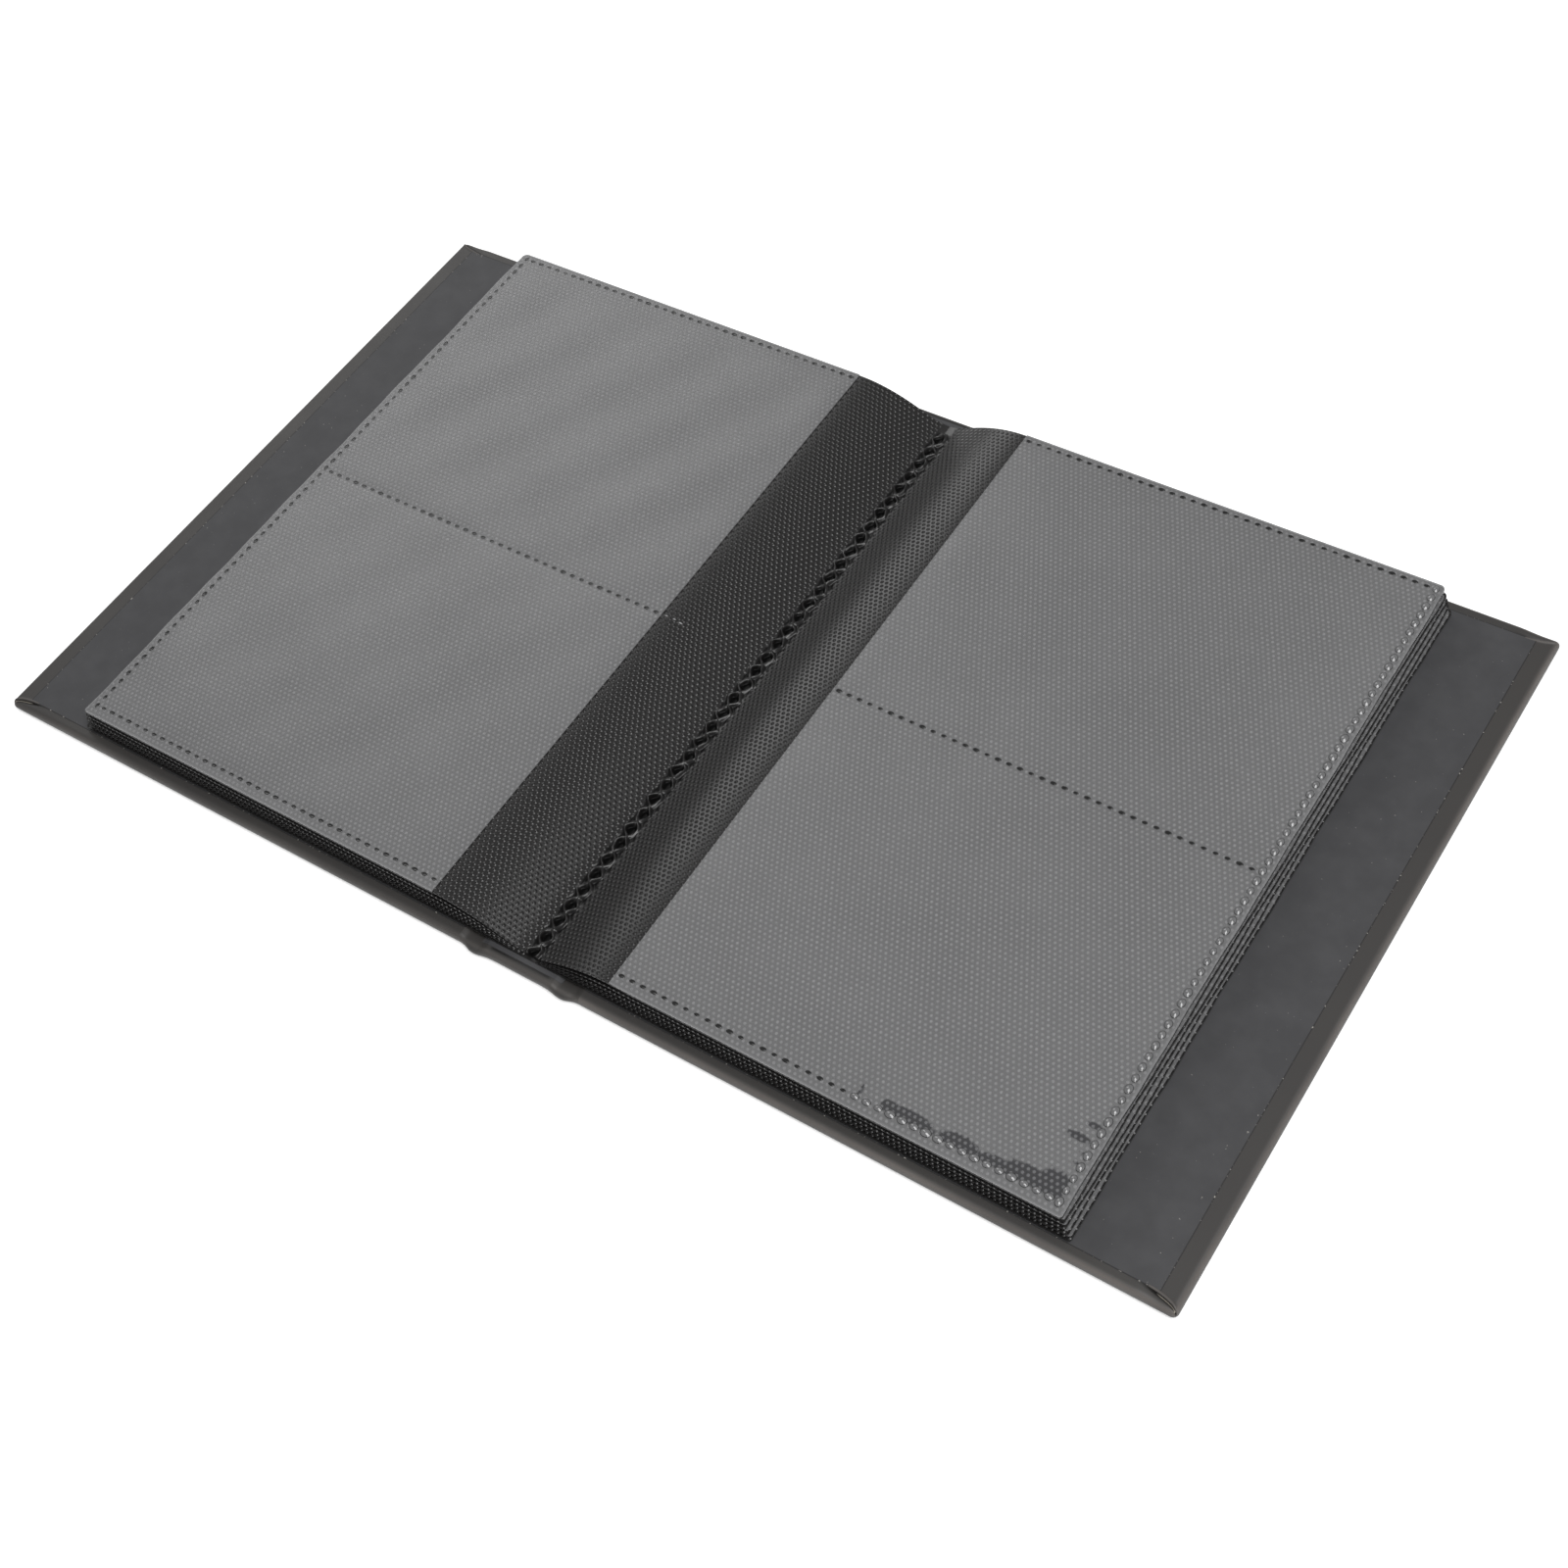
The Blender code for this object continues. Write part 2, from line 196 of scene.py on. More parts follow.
# %% Sheets
def sharpen(mesh, ring, count):
    """Mark the edges that join neighbours on a sheet's border as sharp, on the top and on the bottom.
    The bottom's places start far above the top's, so that an edge of the wall never joins
    neighbours."""
    length = len(ring)
    place = np.full(len(mesh.vertices), -1)
    place[ring] = np.arange(length)
    place[ring + count] = np.arange(length) + 3 * length
    ends = np.empty(2 * len(mesh.edges), dtype=np.int32)
    mesh.edges.foreach_get("vertices", ends)
    first, second = place[ends.reshape(-1, 2)].T
    step = np.abs(first - second)
    border = (first >= 0) & (second >= 0) & ((step == 1) | (step == length - 1))
    mesh.edges.foreach_set("use_edge_sharp", border)


def sheet_parts(x, y, top, bottom):
    """Points and quads of a thin closed sheet: a top grid, the same grid below it, and a wall round the
    border. The first index runs towards +X and the second towards +Y. Also gives the border's point
    numbers in order."""
    rows, columns = x.shape
    count = rows * columns
    points = np.concatenate([np.stack([x, y, z], axis=-1).reshape(-1, 3) for z in (top, bottom)])
    number = np.arange(count).reshape(rows, columns)
    ring = np.concatenate([number[:-1, 0], number[-1, :-1], number[:0:-1, -1], number[0, :0:-1]])
    after = np.roll(ring, -1)
    wall = np.stack([ring + count, after + count, after, ring], axis=-1)
    faces = np.concatenate([quads(rows, columns), quads(rows, columns, count)[:, ::-1], wall])
    return points, faces, ring


def thin_sheet(name, x, y, top, bottom, material, flat_map=None):
    """A closed sheet of one material, with sharp cut edges. The function called flat_map gives its
    map."""
    points, faces, ring = sheet_parts(x, y, top, bottom)
    uv = flat_map(points, faces, ring) if flat_map else None
    piece = add_piece(name, points, faces, [material], uv)
    sharpen(piece.data, ring, x.size)
    return piece


print("grid helpers ready")

# %% [markdown]
# ## Colours and shader nodes
#
# Colours are read off as hex values, the way a picture editor shows them. Cycles works with linear
# light, so one function converts them. A second small function adds any shader node: its own settings
# go in by name, and each input takes either a plain value or another node's output. It gives back one
# output, the first unless told otherwise.

# %% Material helpers
# Plastic, coatings, paper and paint all bend light about as much.
TYPICAL_IOR = 1.5


def linear(code, gain=1.0):
    """A hex colour as linear light: c / 12.92 when dark, else ((c + 0.055) / 1.055) ** 2.4. A gain
    brightens it."""
    c = np.array([int(code[i : i + 2], 16) for i in (1, 3, 5)]) / 255
    c = np.where(c <= 0.04045, c / 12.92, ((c + 0.055) / 1.055) ** 2.4)
    return (*(c * gain).tolist(), 1.0)


def wire(node, inputs):
    """Set each input of a node to a value, or link it to an output."""
    for socket, value in inputs.items():
        if isinstance(value, bpy.types.NodeSocket):
            node.id_data.links.new(value, node.inputs[socket])
        else:
            node.inputs[socket].default_value = value


def add_node(material, kind, inputs=None, out=0, **settings):
    """Add a shader node with its settings and inputs, and give one of its outputs."""
    made = material.node_tree.nodes.new("ShaderNode" + kind)
    for name, value in settings.items():
        setattr(made, name, value)
    wire(made, inputs or {})
    return made.outputs[out]


def dress(material, inputs):
    """Set inputs of a material's Principled shader."""
    wire(material.node_tree.nodes["Principled BSDF"], inputs)
    return material


def start_material(name):
    """A new material with a Principled shader, and the function that adds nodes to it."""
    material = bpy.data.materials.new(name)
    material.use_nodes = True
    dress(material, {"IOR": TYPICAL_IOR})
    return material, partial(add_node, material)


def shade(node, factor, first, second, start=0.0, end=1.0):
    """A colour that runs from one to another as a factor runs from start to end. A Mix node has its two
    colours at inputs 6 and 7, and the mixed one at output 2."""
    share = node("MapRange", {"Value": factor, "From Min": start, "From Max": end})
    return node("Mix", {"Factor": share, 6: first, 7: second}, out=2, data_type="RGBA")


def clouded(name, size, detail, tones, finish):
    """A material whose colour clouds between two tones, over a size in millimetres. The finish holds
    the shader's other inputs."""
    material, node = start_material(name)
    place = node("TexCoord", out="Object")
    cloud = node("TexNoise", {"Vector": place, "Scale": 1 / (size * MM), "Detail": detail})
    return dress(material, {"Base Color": shade(node, cloud, *tones), **finish})


print("material helpers ready")

# %% [markdown]
# ## Black coated cloth
#
# The case is covered in bookbinding cloth with a polyurethane coating, calendered between rollers. To
# the eye it is a soft matte black, slightly warm, with a very fine grain and dull patches where it has
# been handled. Along its edges it is paler: partly a real rub, partly a painted highlight where a rim
# or the lip of a fold catches the light. The grain is about 0.35 mm, which is just over a pixel in the
# picture, so it is drawn at 0.5 mm to show at all. One attribute is 1 on that rub and highlight.
# Another is 1 in a crease, where no light gets in, and there the colour is painted black as shade.

# %% Coated cloth
GRAIN = 0.5
HANDLED = 28
BUMP_DEPTH = 0.05


def coated_cloth():
    """Warm black with a fine leathery grain and faint clouds. It is paler where one attribute is 1,
    partly a real rub and partly a painted highlight, and black where another is 1, as painted shade in
    a crease."""
    material, node = start_material("polyurethane_coated_cloth_calendered")
    place = node("TexCoord", out="Object")
    grain = node("TexVoronoi", {"Vector": place, "Scale": 1 / (GRAIN * MM)})
    clouds = node("TexNoise", {"Vector": place, "Scale": 1 / (HANDLED * MM), "Detail": 5.0})
    worn_and_highlit = node("Attribute", out="Fac", attribute_name="worn_and_highlit")
    crease_shade = node("Attribute", out="Fac", attribute_name="crease_shade")
    tone = shade(node, clouds, linear("#373534"), linear("#3c3a38"), 0.3, 0.75)
    # Paler where rubbed, partly real rub and partly painted highlight; black in a crease, as painted
    # shade.
    rubbed_and_highlit = node("Math", {0: worn_and_highlit, 1: clouds}, operation="MULTIPLY")
    colour = shade(node, rubbed_and_highlit, tone, linear("#77716d"))
    dull_to_shiny = {"From Min": 0.3, "From Max": 0.7, "To Min": 0.53, "To Max": 0.47}
    finish = {
        "Base Color": shade(node, crease_shade, colour, linear("#0b0a0a")),
        "Roughness": node("MapRange", {"Value": clouds, **dull_to_shiny}),
        "Normal": node("Bump", {"Height": grain, "Strength": 0.12, "Distance": BUMP_DEPTH * MM}),
    }
    return dress(material, finish)


CLOTH = coated_cloth()
print("made", CLOTH.name)

# %% [markdown]
# ## Lining sheet
#
# Inside the covers a coated charcoal paper is pasted over the board and the turned-in cloth. It is
# smooth, a little cooler than the cloth, and its cut edge sheds pale fibres, a few of which lie about
# as dust. The edge is told apart by a point attribute that is 1 at the cut and 0 further in, so the
# fibres stay on the edge whatever the sheet's size.

# %% Lining paper
MOTTLE = 6
FIBRE = 0.8
EDGE_SHADOW = 0.85


def lining_paper():
    """Charcoal with faint mottling. Where the attribute called cut is 1 it has pale specks, and it is
    darker along the cut edge as a painted shadow."""
    material, node = start_material("coated_charcoal_paper_pasted")
    place = node("TexCoord", out="Object")
    mottle = node("TexNoise", {"Vector": place, "Scale": 1 / (MOTTLE * MM), "Detail": 8.0})
    fibre = node("TexNoise", {"Vector": place, "Scale": 1 / (FIBRE * MM), "Detail": 2.0})
    cut = node("Attribute", out="Fac", attribute_name="cut")
    speck = node("MapRange", {"Value": fibre, "From Min": 0.62, "From Max": 0.7, "To Max": 0.8})
    on_edge = node("Math", {0: speck, 1: cut}, operation="MULTIPLY", use_clamp=True)
    dust = node("MapRange", {"Value": fibre, "From Min": 0.73, "From Max": 0.78, "To Max": 0.5})
    pale = node("Math", {0: dust, 1: on_edge}, operation="MAXIMUM")
    # Painted shadow: the band along the cut edge is darkened.
    edge_shadow_share = node("Math", {0: cut, 1: EDGE_SHADOW}, operation="MULTIPLY")
    tone = shade(node, mottle, linear("#3b3b3d"), linear("#424244"), 0.35, 0.7)
    edge_shadowed = shade(node, edge_shadow_share, tone, linear("#1c1b1b"))
    finish = {
        "Base Color": shade(node, pale, edge_shadowed, linear("#b9b5ae")),
        "Roughness": 0.6,
        "Normal": node("Bump", {"Height": mottle, "Strength": 0.1, "Distance": BUMP_DEPTH * MM}),
    }
    return dress(material, finish)


PAPER = lining_paper()
print("made", PAPER.name)

# %% [markdown]
# ## Embossed sheet and frosted film
#
# The pages are black polypropylene, rolled hot against a die that leaves a staggered field of small
# round dots. The product of two cosines peaks on exactly such a field, at the corners and in the middle
# of each cell, and a third cosine along the spine makes the peaks round. The sheet's own map gives u
# and v in millimetres, so the dots bend with it. Where the weld has pressed the sheet flat, an
# attribute called pressed is 1. A bump node would measure the slope across a whole pixel, and a pixel
# is a third of a dot. So the slope is worked out from the formula and goes in as a normal. The plastic
# is nearly black, so what shows a dot is the light that its flank throws back.
#
# The film over it is clear polypropylene with a frosted face. It scatters white light, so over black it
# looks mid grey. Where it rests on a dot it looks a little paler. It is see-through for real: its two
# faces each let part of the light by. Where heat has melted either plastic, in the welds and along a
# cut, it is smooth and a little cloudy.

# %% Emboss
DOT_ACROSS = 1.39
DOT_ALONG = 2.56
DOT_STEP = 1.5


def dot_field(node, rise, foot, fade=1.0):
    """The emboss as a share from 0 on the ground to 1 on a dot, and as a normal. With p = 2 pi u / a
    and q = 2 pi v / b the field is 3f = 2 cos p cos q + cos 2q, which is 2 cos q (cos p + cos q) - 1.
    The share is a smooth step of 3f that starts at the foot. The normal leans by the slope of f times
    that share and the rise in millimetres: sin p cos q across and sin q (cos p + 2 cos q) along, each
    times 2/3 of 2 pi over its pitch."""
    turns = np.array([2 * np.pi / DOT_ACROSS, 2 * np.pi / DOT_ALONG, 0])
    sheet = node("UVMap", uv_map="sheet")
    angles = node("VectorMath", {0: sheet, 1: turns}, operation="MULTIPLY")
    sines = node("VectorMath", {0: angles}, operation="SINE")
    cosines = node("VectorMath", {0: angles}, operation="COSINE")
    cos_p = node("SeparateXYZ", {"Vector": cosines})
    cos_q = cos_p.node.outputs["Y"]
    both = node("Math", {0: cos_p, 1: cos_q}, operation="ADD")
    product = node("Math", {0: cos_q, 1: both}, operation="MULTIPLY")
    field = node("Math", {0: product, 1: 2.0, 2: -1.0}, operation="MULTIPLY_ADD")
    ramp = {"Value": field, "From Min": foot, "From Max": foot + DOT_STEP}
    step = node("MapRange", ramp, interpolation_type="SMOOTHSTEP")
    share = node("Math", {0: step, 1: fade}, operation="MULTIPLY")
    steep = node("Math", {0: cos_q, 1: both}, operation="ADD")
    normal = node("CombineXYZ", {"X": cos_q, "Y": steep})
    half = (0.5, 0.5, 0.5)
    for operation, inputs in (
        ("MULTIPLY", {1: sines}),
        ("MULTIPLY", {1: 2 / 3 * rise * turns}),
        ("SCALE", {"Scale": share}),
        ("ADD", {1: (0, 0, 1)}),
        ("NORMALIZE", {}),
        ("MULTIPLY_ADD", {1: half, 2: half}),
    ):
        normal = node("VectorMath", {0: normal, **inputs}, operation=operation)
    return share, node("NormalMap", {"Color": normal}, uv_map="sheet")


print("dots per square centimetre", round(2 * 100 / (DOT_ACROSS * DOT_ALONG)))

# %% Black sheet
SHEET_RISE = 0.17
SHEET_FOOT = -0.9


def embossed_sheet():
    """Black plastic with small raised dots. It is smooth where the attribute called pressed is 1. Where
    the one called sunk is 1, in the pits of the weld, it is painted black and without gloss as shade."""
    material, node = start_material("black_polypropylene_hot_embossed")
    pressed = node("Attribute", out="Fac", attribute_name="pressed")
    sunk = node("Attribute", out="Fac", attribute_name="sunk")
    kept = node("Math", {0: 1.0, 1: pressed}, operation="SUBTRACT")
    finish = {
        "Base Color": shade(node, sunk, linear("#1b1a1a"), linear("#060606")),
        "Roughness": 0.28,
        "Specular IOR Level": node("MapRange", {"Value": sunk, "To Min": 0.55, "To Max": 0.05}),
        "Normal": dot_field(node, SHEET_RISE, SHEET_FOOT, kept)[1],
    }
    return dress(material, finish)


SHEET = embossed_sheet()
print("made", SHEET.name)

# %% Film
FILM_RISE = 0.03
FILM_FOOT = 0.15
FILM_CLEAR = 0.5
HAZE = 22
HAZE_GAINS = (0.95, 1.05)
OVER_DOT = 1.6
RAGGED = 0.9
RAGGED_DRAWN = (1, 0.4, 1)


def frosted_film(name, code):
    """Pale scattering film, partly see-through, paler over the dots and along its cut edge, where the
    attribute called rim is 1. Where the one called stuck is high the film lies wet on the black sheet:
    darker, shiny, with a ragged border and clearer dots."""
    material, node = start_material(name)
    dots, normal = dot_field(node, FILM_RISE, FILM_FOOT)
    place = node("TexCoord", out="Object")
    haze = node("TexNoise", {"Vector": place, "Scale": 1 / (HAZE * MM), "Detail": 4.0})
    drawn = node("Mapping", {"Vector": place, "Scale": RAGGED_DRAWN})
    ragged = node("TexNoise", {"Vector": drawn, "Scale": 1 / (RAGGED * MM), "Detail": 3.0})
    rim = node("Attribute", out="Fac", attribute_name="rim")
    stuck = node("Attribute", out="Fac", attribute_name="stuck")
    patches = {"Value": ragged, "From Min": 0.35, "From Max": 0.65, "To Min": 0.45}
    uneven = node("MapRange", patches)
    through = node("Math", {0: dots, 1: uneven}, operation="MULTIPLY")
    paler = node("Math", {0: through, 1: rim}, operation="MAXIMUM")
    tone = shade(node, haze, *[linear(code, gain) for gain in HAZE_GAINS], 0.3, 0.7)
    printed = shade(node, paler, tone, linear(code, OVER_DOT))
    torn = node("Math", {0: ragged, 1: 0.9, 2: stuck}, operation="MULTIPLY_ADD")
    border = {"Value": torn, "From Min": 0.9, "From Max": 1.3}
    wet = node("MapRange", border, interpolation_type="SMOOTHSTEP")
    sunk = shade(node, dots, linear("#535355"), linear("#868688"))
    finish = {
        "Base Color": shade(node, wet, printed, sunk),
        "Roughness": node("MapRange", {"Value": wet, "To Min": 0.3, "To Max": 0.14}),
        "Alpha": FILM_CLEAR,
        "Normal": normal,
    }
    return dress(material, finish)


FILM = {
    "left": frosted_film("frosted_polypropylene_film_left", "#868687"),
    "right": frosted_film("frosted_polypropylene_film_right", "#878788"),
}
print("made", [material.name for material in FILM.values()])

# %% Melted plastic
MELT = 1.5
MELT_GAINS = (0.7, 1.3)


def melted_plastic(name, code, finish):
    """A plastic of one colour, clouded a little by the heat that shaped it."""
    return clouded(name, MELT, 3.0, [linear(code, gain) for gain in MELT_GAINS], finish)


FILM_EDGE = melted_plastic("clear_polypropylene_film_knife_cut", "#9c9c9d", {"Roughness": 0.3})
WELD = melted_plastic("black_polypropylene_heat_welded", "#1d1d1d", {"Roughness": 0.25})
BEAD_SHINE = {"Roughness": 0.1, "Specular IOR Level": 1.0}
BEAD = melted_plastic("clear_polypropylene_film_heat_beaded", "#6c6c6d", BEAD_SHINE)
print("made", FILM_EDGE.name, WELD.name, BEAD.name)

# %% [markdown]
# ## The covers
#
# A cover is a board in cloth: a thin slab with round rims. The cloth is turned in over three edges. The
# fore edge is folded last, so at each outer corner its end lies over the end band in a curved lip, and
# below the lip the end band shows as a narrow lens that tapers to the corner. The lip follows a quarter
# of an ellipse. A slab could be bevelled, but the lip is a step along a curve, so the grid is drawn to
# follow it: the points inside the lens are shares of its width, and the points beyond it are distances
# from the lip.

# %% Cover shape
RIM = 1.5
TURN_IN = 5.2
END_BAND = 3.0
FOLD_REACH = 10.5
FOLD_STEP = 0.7
LENS_BULGE = 0.25
LENS_CREASE = 0.15
LIP_RISE = 0.2
LINING_SINK = 0.3


def rim_height(distance):
    """A round rim: 0 at the edge and 1 from one rim radius inwards, along a quarter circle."""
    inside = np.clip(distance / RIM, 0, 1)
    return np.sqrt(1 - (1 - inside) ** 2)


def lens_width(from_side):
    """Width of the end band: a quarter of an ellipse from 0 at the fore edge to its full width."""
    share = np.clip(from_side / FOLD_REACH, 0, 1)
    return END_BAND * np.sqrt(1 - (1 - share) ** 2)


def turned_in_top(from_side, from_end):
    """Height of the cloth over the slab's flat top: a step down at the lip, a bulge in the lens, and a
    sunk middle for the lining. The step fades along the lip."""
    width = lens_width(from_side)
    fold = 1 - ease(0.4, 1, from_side / FOLD_REACH)
    below = width - from_end
    across = np.clip(from_end / np.maximum(width, 0.01), 0, 1)
    lens = LENS_BULGE * np.sin(np.pi * across) - FOLD_STEP - LENS_CREASE * bell(below, 0, 0.25)
    lip = LIP_RISE * bell(below, -0.3, 0.3)
    sunk = ease(TURN_IN + 0.6, TURN_IN + 1, from_side) * ease(END_BAND + 0.6, END_BAND + 1, from_end)
    return fold * np.where(below >= -1e-6, lens, lip) - LINING_SINK * sunk


print("end band", lens_width(FOLD_REACH), "mm wide past the lip")

# %% Cloth slabs
SHARP = np.radians(50)


def case_slab(name, x, y, top, bottom, wear_and_painted_light):
    """A slab from two height fields that meet round its rim. The function passed in last gives a rub
    with its painted highlight, and the painted shade of a crease."""
    points = np.concatenate([np.stack([x, y, z], axis=-1).reshape(-1, 3) for z in (top, bottom)])
    rows, columns = x.shape
    faces = np.concatenate([quads(rows, columns), quads(rows, columns, rows * columns)])
    piece = add_piece(name, points, faces, [CLOTH], merge=True)
    place = np.empty(3 * len(piece.data.vertices))
    piece.data.vertices.foreach_get("co", place)
    piece.data.set_sharp_from_angle(angle=SHARP)
    rub_with_highlight, crease_shade = wear_and_painted_light(place.reshape(-1, 3) / MM)
    mark(piece, "worn_and_highlit", rub_with_highlight)
    mark(piece, "crease_shade", crease_shade)
    return piece


print("cloth edges are sharp past", round(np.degrees(SHARP)), "degrees")

# %% Covers
# The rims are paler with a rub and a painted highlight. The left cover gets less of it, as painted
# shade, because its rims lie in the block's shadow. The lip of each fold gets a painted highlight, and
# the crease below it painted shade.
RUB_AND_LIGHT_BY_SIDE = {"left": 0.35, "right": 1}
LIP_HIGHLIGHT = 0.8
LIP_SHADE = 0.9
rim_steps = RIM * (1 - np.cos(np.linspace(0, np.pi / 2, 6)))
LENS_SHARES = np.array([0, 0.03, 0.08, 0.15, 0.24, 0.34, 0.45, 0.56, 0.67, 0.78, 0.88, 0.95, 1])
PAST_LIP = np.array([0.03, 0.1, 0.2, 0.35, 0.55, 0.8, 1.1, 1.5, 2.2, 3.5, 6, 10, 18, 30])
MIDDLE_ROWS = np.linspace(-60, 60, 7)


def cover(side):
    """One cover: two height fields over the same grid, meeting at half height round the rim."""
    sign = SIDES[side]
    wide = COVER_OUTER - COVER_INNER
    inward = stations((1.9, 28), (FOLD_REACH, 4), (20, 8), (wide - 0.4, 1), (wide, 1))
    from_side = np.concatenate([rim_steps, inward, [wide]])[:, None]
    width = lens_width(from_side)
    beyond = width + PAST_LIP * (PAST_LIP[-1] - width) / PAST_LIP[-1]
    ends = np.concatenate([LENS_SHARES * width, beyond], axis=1)
    middle = np.broadcast_to(COVER_END - np.abs(MIDDLE_ROWS), (len(from_side), MIDDLE_ROWS.size))
    from_y = np.concatenate([ends, middle, ends[:, ::-1]], axis=1)
    towards = np.concatenate([-np.ones(ends.shape[1]), np.sign(MIDDLE_ROWS), np.ones(ends.shape[1])])
    from_x = np.broadcast_to(from_side, from_y.shape)
    corner_x = np.clip(1 - from_x / RIM, 0, 1)
    corner_y = np.clip(1 - from_y / RIM, 0, 1)
    both = (corner_x > 0) & (corner_y > 0)
    round_x, round_y = quarter_circle(corner_x, corner_y)
    x = sign * np.where(both, COVER_OUTER - RIM + RIM * round_x, COVER_OUTER - from_x)
    y = towards * np.where(both, COVER_END - RIM + RIM * round_y, COVER_END - from_y)
    inside = RIM * (1 - np.where(both, np.hypot(round_x, round_y), np.maximum(corner_x, corner_y)))
    body = rim_height(inside)
    body[-1] = 0
    half = COVER_THICK / 2
    top = half + (half + turned_in_top(from_x, from_y)) * body

    def wear_and_painted_light(place):
        """A pale band on the shoulder of the three outer rims, part real rub and part painted
        highlight. It is weaker on the left cover, whose rims lie in the block's shadow. The lip of each
        fold gets a painted highlight, and the crease below the lip gets painted shade."""
        from_side = COVER_OUTER - np.abs(place[:, 0])
        from_end = COVER_END - np.abs(place[:, 1])
        upper = place[:, 2] > half
        fold = upper * (1 - ease(0.6, 1.2, from_side / FOLD_REACH))
        below = lens_width(from_side) - from_end
        rub_with_highlight = RUB_AND_LIGHT_BY_SIDE[side] * bell(np.minimum(from_side, from_end), 0.5, 0.5) * upper
        rub_with_highlight = np.maximum(rub_with_highlight, LIP_HIGHLIGHT * fold * bell(below, -0.35, 0.3))
        return rub_with_highlight, LIP_SHADE * fold * bell(below, 0.2, 0.25)

    return case_slab(side + "_case_cloth", x, y, top, half - half * body, wear_and_painted_light)


for side in SIDES:
    piece = cover(side)
    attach(piece, side + "_cover")
    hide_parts(side + "_skin")
    print(piece.name, len(piece.data.polygons), "faces")

# %% [markdown]
# ## The linings
#
# Each lining is one flat sheet that just covers the inner edge of the turned-in cloth. It carries the
# attribute that marks its cut edge.

# %% Linings
LINING_HALF = 0.06
CUT_BAND = 0.3


def lining(side):
    """A flat thin sheet from the hinge to the turned-in bands."""
    outer = COVER_OUTER - TURN_IN
    end = COVER_END - END_BAND
    x = SIDES[side] * stations((COVER_INNER, 14), (outer - 2, 3), (outer - CUT_BAND, 2), (outer, 1))
    near_half = (-end, 2), (-end + CUT_BAND, 3), (-end + 2, 24)
    y = stations(*near_half, (end - 2, 3), (end - CUT_BAND, 2), (end, 1))
    x, y = np.meshgrid(np.sort(x), y, indexing="ij")
    level = np.full_like(x, COVER_THICK)
    piece = thin_sheet(side + "_case_lining", x, y, level + LINING_HALF, level - LINING_HALF, PAPER)
    cut = 1 - ease(CUT_BAND * 0.5, CUT_BAND, np.minimum(outer - np.abs(x), end - np.abs(y)))
    mark(piece, "cut", np.stack([cut, cut]))
    return piece


for side in SIDES:
    piece = lining(side)
    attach(piece, side + "_cover")
    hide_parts(side + "_lining")
    print(piece.name, len(piece.data.polygons), "faces")

# %% [markdown]
# ## The spine and its hinges
#
# Between the covers the cloth runs under a narrow board, with a groove pressed on each side of it. The
# grooves are the hinges. The cloth there has to bend, so the strip is cut into three pieces: the middle
# rides on the spine, and each hinge piece lies across its groove, fixed where it is. At the near end
# the folded cloth is thick and stands out a little, most of all in the grooves.

# %% Spine shape
SPINE_HALF = HINGE[0] - (COVER_INNER - HINGE[0])
GROOVE_DEPTH = 0.55
GROOVE_AT_END = 0.3
UNDER_GROOVE = 0.45
TAIL = 0.3
TAIL_GROOVE = 0.7


def groove_share(x, y):
    """1 in the floor of a hinge groove, 0 on the spine and the covers, and less at the two ends of the
    groove."""
    away = np.abs(x)
    down = ease(SPINE_HALF - 0.4, SPINE_HALF + 2, away)
    up = ease(COVER_INNER - 2, COVER_INNER + 0.2, away)
    along = GROOVE_AT_END + (1 - GROOVE_AT_END) * ease(2, 9, COVER_END - np.abs(y))
    return down * (1 - up) * along


def tail(x):
    """How far the near end of the cloth stands out: full on the spine, more in the grooves, none at the
    covers."""
    away = np.abs(x)
    return (TAIL + TAIL_GROOVE * bell(away, HINGE[0] - 1, 3)) * (1 - ease(HINGE[0], COVER_INNER, away))


def bend_at_hinge(piece, side):
    """Fix a hinge piece where it lies, with its place baked into its points, and print its size. The
    line across the groove from the spine to a cover is worked out but not used.
    """
    start, end = [(SIDES[side] * place * MM, 0, HINGE[2] * MM) for place in (SPINE_HALF, COVER_INNER)]
    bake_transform(piece)
    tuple(start)
    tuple(end)
    print(piece.name, len(piece.data.polygons), "faces")


print("spine", 2 * SPINE_HALF, "mm wide, grooves", COVER_INNER - SPINE_HALF)

# %% Spine cloth
CLOTH_STEP = 0.4
SPINE_RUB = 0.35
STRIP_SHADOW_LINE = 1.7


